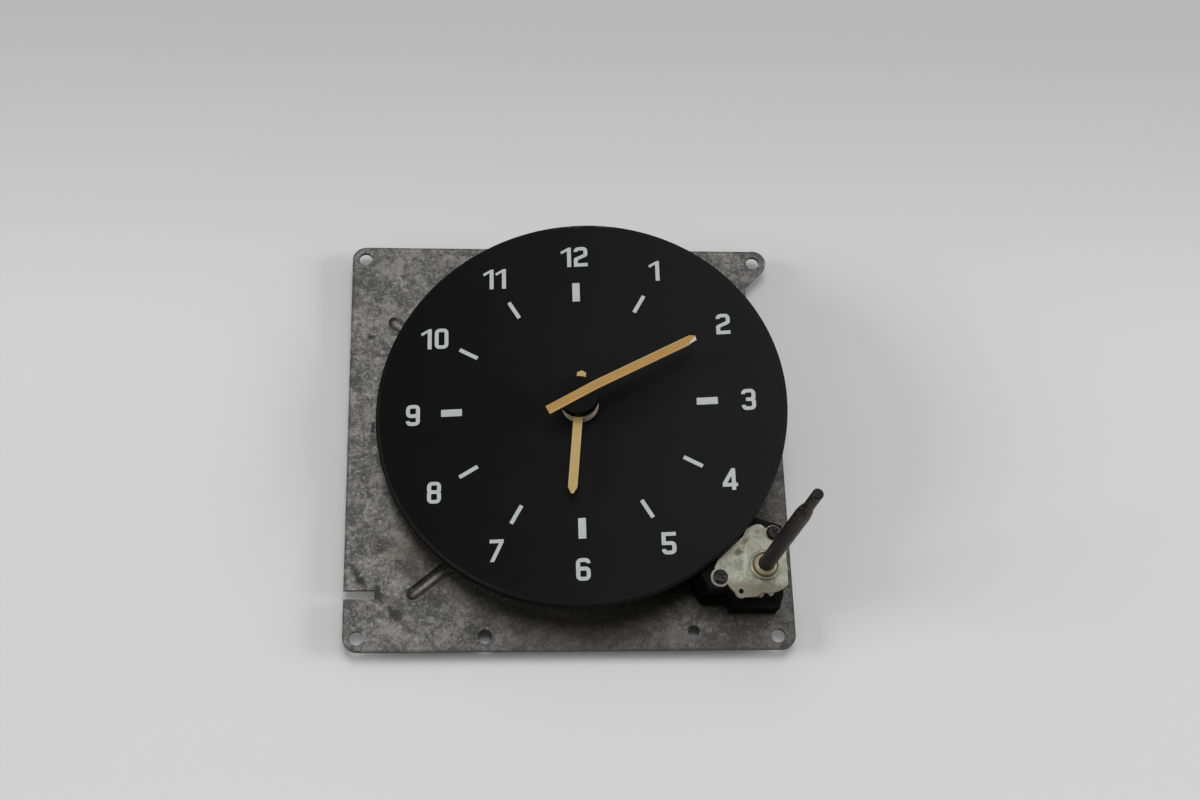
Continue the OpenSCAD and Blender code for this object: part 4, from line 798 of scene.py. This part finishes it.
def hour_bars(ink):
    """Twelve bars on a circle; those at 12, 3, 6 and 9 are thick."""
    g = Geo("hour_bars")
    radius = g.value("Radius", "NodeSocketFloat", BAR_R)
    count = g.value("Count", "NodeSocketInt", 12)
    ring = g.node("GeometryNodeMeshCircle", {"Vertices": count, "Radius": radius})
    points = g.node("GeometryNodeMeshToPoints", {"Mesh": ring})
    outward = g.node("FunctionNodeAlignRotationToVector", {"Vector": g.node("GeometryNodeInputPosition")},
                     axis="X", pivot_axis="Z")
    past_thick = g.node("GeometryNodeInputIndex") % 3.0
    both = g.node("GeometryNodeJoinGeometry")
    shapes = [bar_shape("thick_bar", THICK_HALF_W), bar_shape("thin_bar", THIN_HALF_W)]
    for shape, wanted in zip(shapes, ("LESS_THAN", "GREATER_THAN")):
        info = g.node("GeometryNodeObjectInfo", {"Object": shape}, "Geometry")
        chosen = g.node("FunctionNodeCompare", {"A": past_thick, "B": 0.5}, operation=wanted)
        some = g.node("GeometryNodeInstanceOnPoints", {
            "Points": points, "Selection": chosen, "Instance": info, "Rotation": outward})
        g.tree.links.new(some.socket, both.socket.node.inputs[0])
    g.bake(both, ink, DIAL @ Matrix.Translation((BAR_X, 0, 0)), "base", "dial_black")
    for shape in shapes:
        bpy.data.objects.remove(shape)


def helix(name, turns, radius, wire, height):
    """Tree of a round wire wound along +Z, and its last socket."""
    g = Geo(name)
    numbers = {"Turns": turns, "Radius": radius, "Wire radius": wire, "Height": height}
    given = {title: g.value(title, "NodeSocketFloat", number) for title, number in numbers.items()}
    path = g.node("GeometryNodeCurveSpiral", {
        "Resolution": 20, "Rotations": given["Turns"], "Start Radius": given["Radius"],
        "End Radius": given["Radius"], "Height": given["Height"]})
    section = g.node("GeometryNodeCurvePrimitiveCircle", {"Resolution": 6, "Radius": given["Wire radius"]})
    return g, g.node("GeometryNodeCurveToMesh", {"Curve": path, "Profile Curve": section, "Fill Caps": True})


def coil_turns():
    """The outermost layer of wire on the coil."""
    length = 10.2
    g, tube = helix("coil_turns", turns=46.0, radius=2.27, wire=0.1, height=length)
    low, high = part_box("coil_winding")
    middle = DIAL.inverted() @ ((low + high) / 2 / MM)
    place = DIAL @ turned(middle, 90, "Y") @ Matrix.Translation((0, 0, -length / 2))
    g.bake(tube, LOOKS["copper"], place, "base", "copper")


def return_coil():
    """Spring under the cup, at the length of its CAD part; the real one shortens while the shaft is pushed
    in.
    """
    push, wire = 2, 0.2
    heights = [(UNIT.inverted() @ (v.co / MM)).z for v in NODES["return_spring"].data.vertices]
    low, length = min(heights), max(heights) - min(heights)
    g, tube = helix("return_coil", turns=3.5, radius=2.4, wire=wire, height=length - 2 * wire)
    made = g.bake(tube, STEEL, UNIT @ Matrix.Translation((0, 0, low + wire)), "base", "steel")
    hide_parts("return_spring")
    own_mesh(made)


def solder_joints():
    """Fillets under the board where the blades, the capacitor, the quartz can and the chip are soldered."""
    board_back, leg_pitch, leg_x = -12.6, 2.54, 3.5
    spots = [(11.5, 22.2), (20, 22.2), (12.7, 4), (15.5, 4), (5.6, -12), (10.9, -12)]
    spots += [(20 + side * leg_x, leg_pitch * (k - 1.5)) for side in (-1, 1) for k in range(4)]
    profile = [(0, 0.1), (0.75, 0.1), (0.7, -0.12), (0.42, -0.38), (0.28, -0.6), (0, -0.66)]
    return [lathe(profile, DIAL @ Matrix.Translation((x, y, board_back)), 12) for x, y in spots]


INK = printed_ink()
for number in range(1, 13):
    piece(f"numeral_{number}", numeral(number), INK, "base")
hour_bars(INK)
coil_turns()
return_coil()
piece("solder_joints", solder_joints(), LOOKS["tinned"], "base")


# ---------------------------------------------------------------- stage
# Height of the floor, under the rear cover, and half its size, in metres
FLOOR_Z, FLOOR_HALF = -4.4 * MM, 3
# Camera: focal length and sensor in millimetres, place in metres, and its right, up and back
LENS, SENSOR_W, CAMERA_AT = 53.30, 36, (-0.02756, -0.16442, 0.40684)
CAMERA_AXES = (0.9966, -0.0288, 0.0772), (-0.0041, 0.9184, 0.3956), (-0.0823, -0.3945, 0.9152)
# Strength of the room, its rise towards the back, and the tone that the camera sees behind the floor
ROOM, ROOM_SLOPE, BACKDROP = 0.275, 0.21, 0.6


def floor():
    """Plain pale floor, with a painted light falloff that makes it a little darker behind the object."""
    t = Tree("floor_look")
    far = t.parts(t.place)[1].step(15, 150)
    near_tone = t.mix(t.noise(0.004, 3), (0.624, 0.625, 0.624), (0.644, 0.645, 0.644))
    material = t.finish(t.mix(far, near_tone, (0.468, 0.469, 0.468)), 0.95, Specular_IOR_Level=0.0)
    mesh = bpy.data.meshes.new("floor")
    corners = [(sx * FLOOR_HALF, sy * FLOOR_HALF, FLOOR_Z) for sx, sy in ((-1, -1), (1, -1), (1, 1), (-1, 1))]
    mesh.from_pydata(corners, [], [(0, 1, 2, 3)])
    mesh.materials.append(material)
    placed("floor", mesh)


def lamp(name, toward, strength, width):
    """Even soft light from one direction; width is its angle in degrees."""
    data = bpy.data.lights.new(name, "SUN")
    data.energy, data.angle = strength, math.radians(width)
    placed(name, data).rotation_euler = (-Vector(toward)).to_track_quat("-Z", "Y").to_euler()


def camera():
    data = bpy.data.cameras.new("camera")
    data.lens, data.sensor_width, data.sensor_fit, data.clip_start = LENS, SENSOR_W, "HORIZONTAL", 0.01
    made = placed("camera", data)
    turn = Matrix(CAMERA_AXES).transposed().to_quaternion().to_matrix().to_4x4()
    made.matrix_world = Matrix.Translation(CAMERA_AT) @ turn
    bpy.context.scene.camera = made


def surroundings():
    """Pale room, brighter behind the object than in front of it; the camera sees one even tone."""
    world = bpy.data.worlds.new("world")
    world.use_nodes = True
    world.node_tree.nodes.clear()
    t = Nodes(world.node_tree)
    toward_back = t.parts(t.node("ShaderNodeTexCoord", out="Generated"))[1]
    seen = t.node("ShaderNodeLightPath", out="Is Camera Ray")
    strength = t.node("ShaderNodeMix", {0: seen, 2: toward_back * ROOM_SLOPE + ROOM, 3: BACKDROP})
    shade = t.node("ShaderNodeBackground", {"Color": (1, 1, 1, 1), "Strength": strength})
    t.node("ShaderNodeOutputWorld", {"Surface": shade})
    bpy.context.scene.world = world


floor()
camera()
lamp("key", toward=(0, 0.35, 1.13), strength=1.19, width=30)
lamp("left_softbox", toward=(-1.0, -0.01, 0.38), strength=1.64, width=24)
lamp("right_softbox", toward=(1.0, -0.01, 0.38), strength=1.62, width=24)
surroundings()
bpy.context.scene.view_settings.view_transform = "Standard"
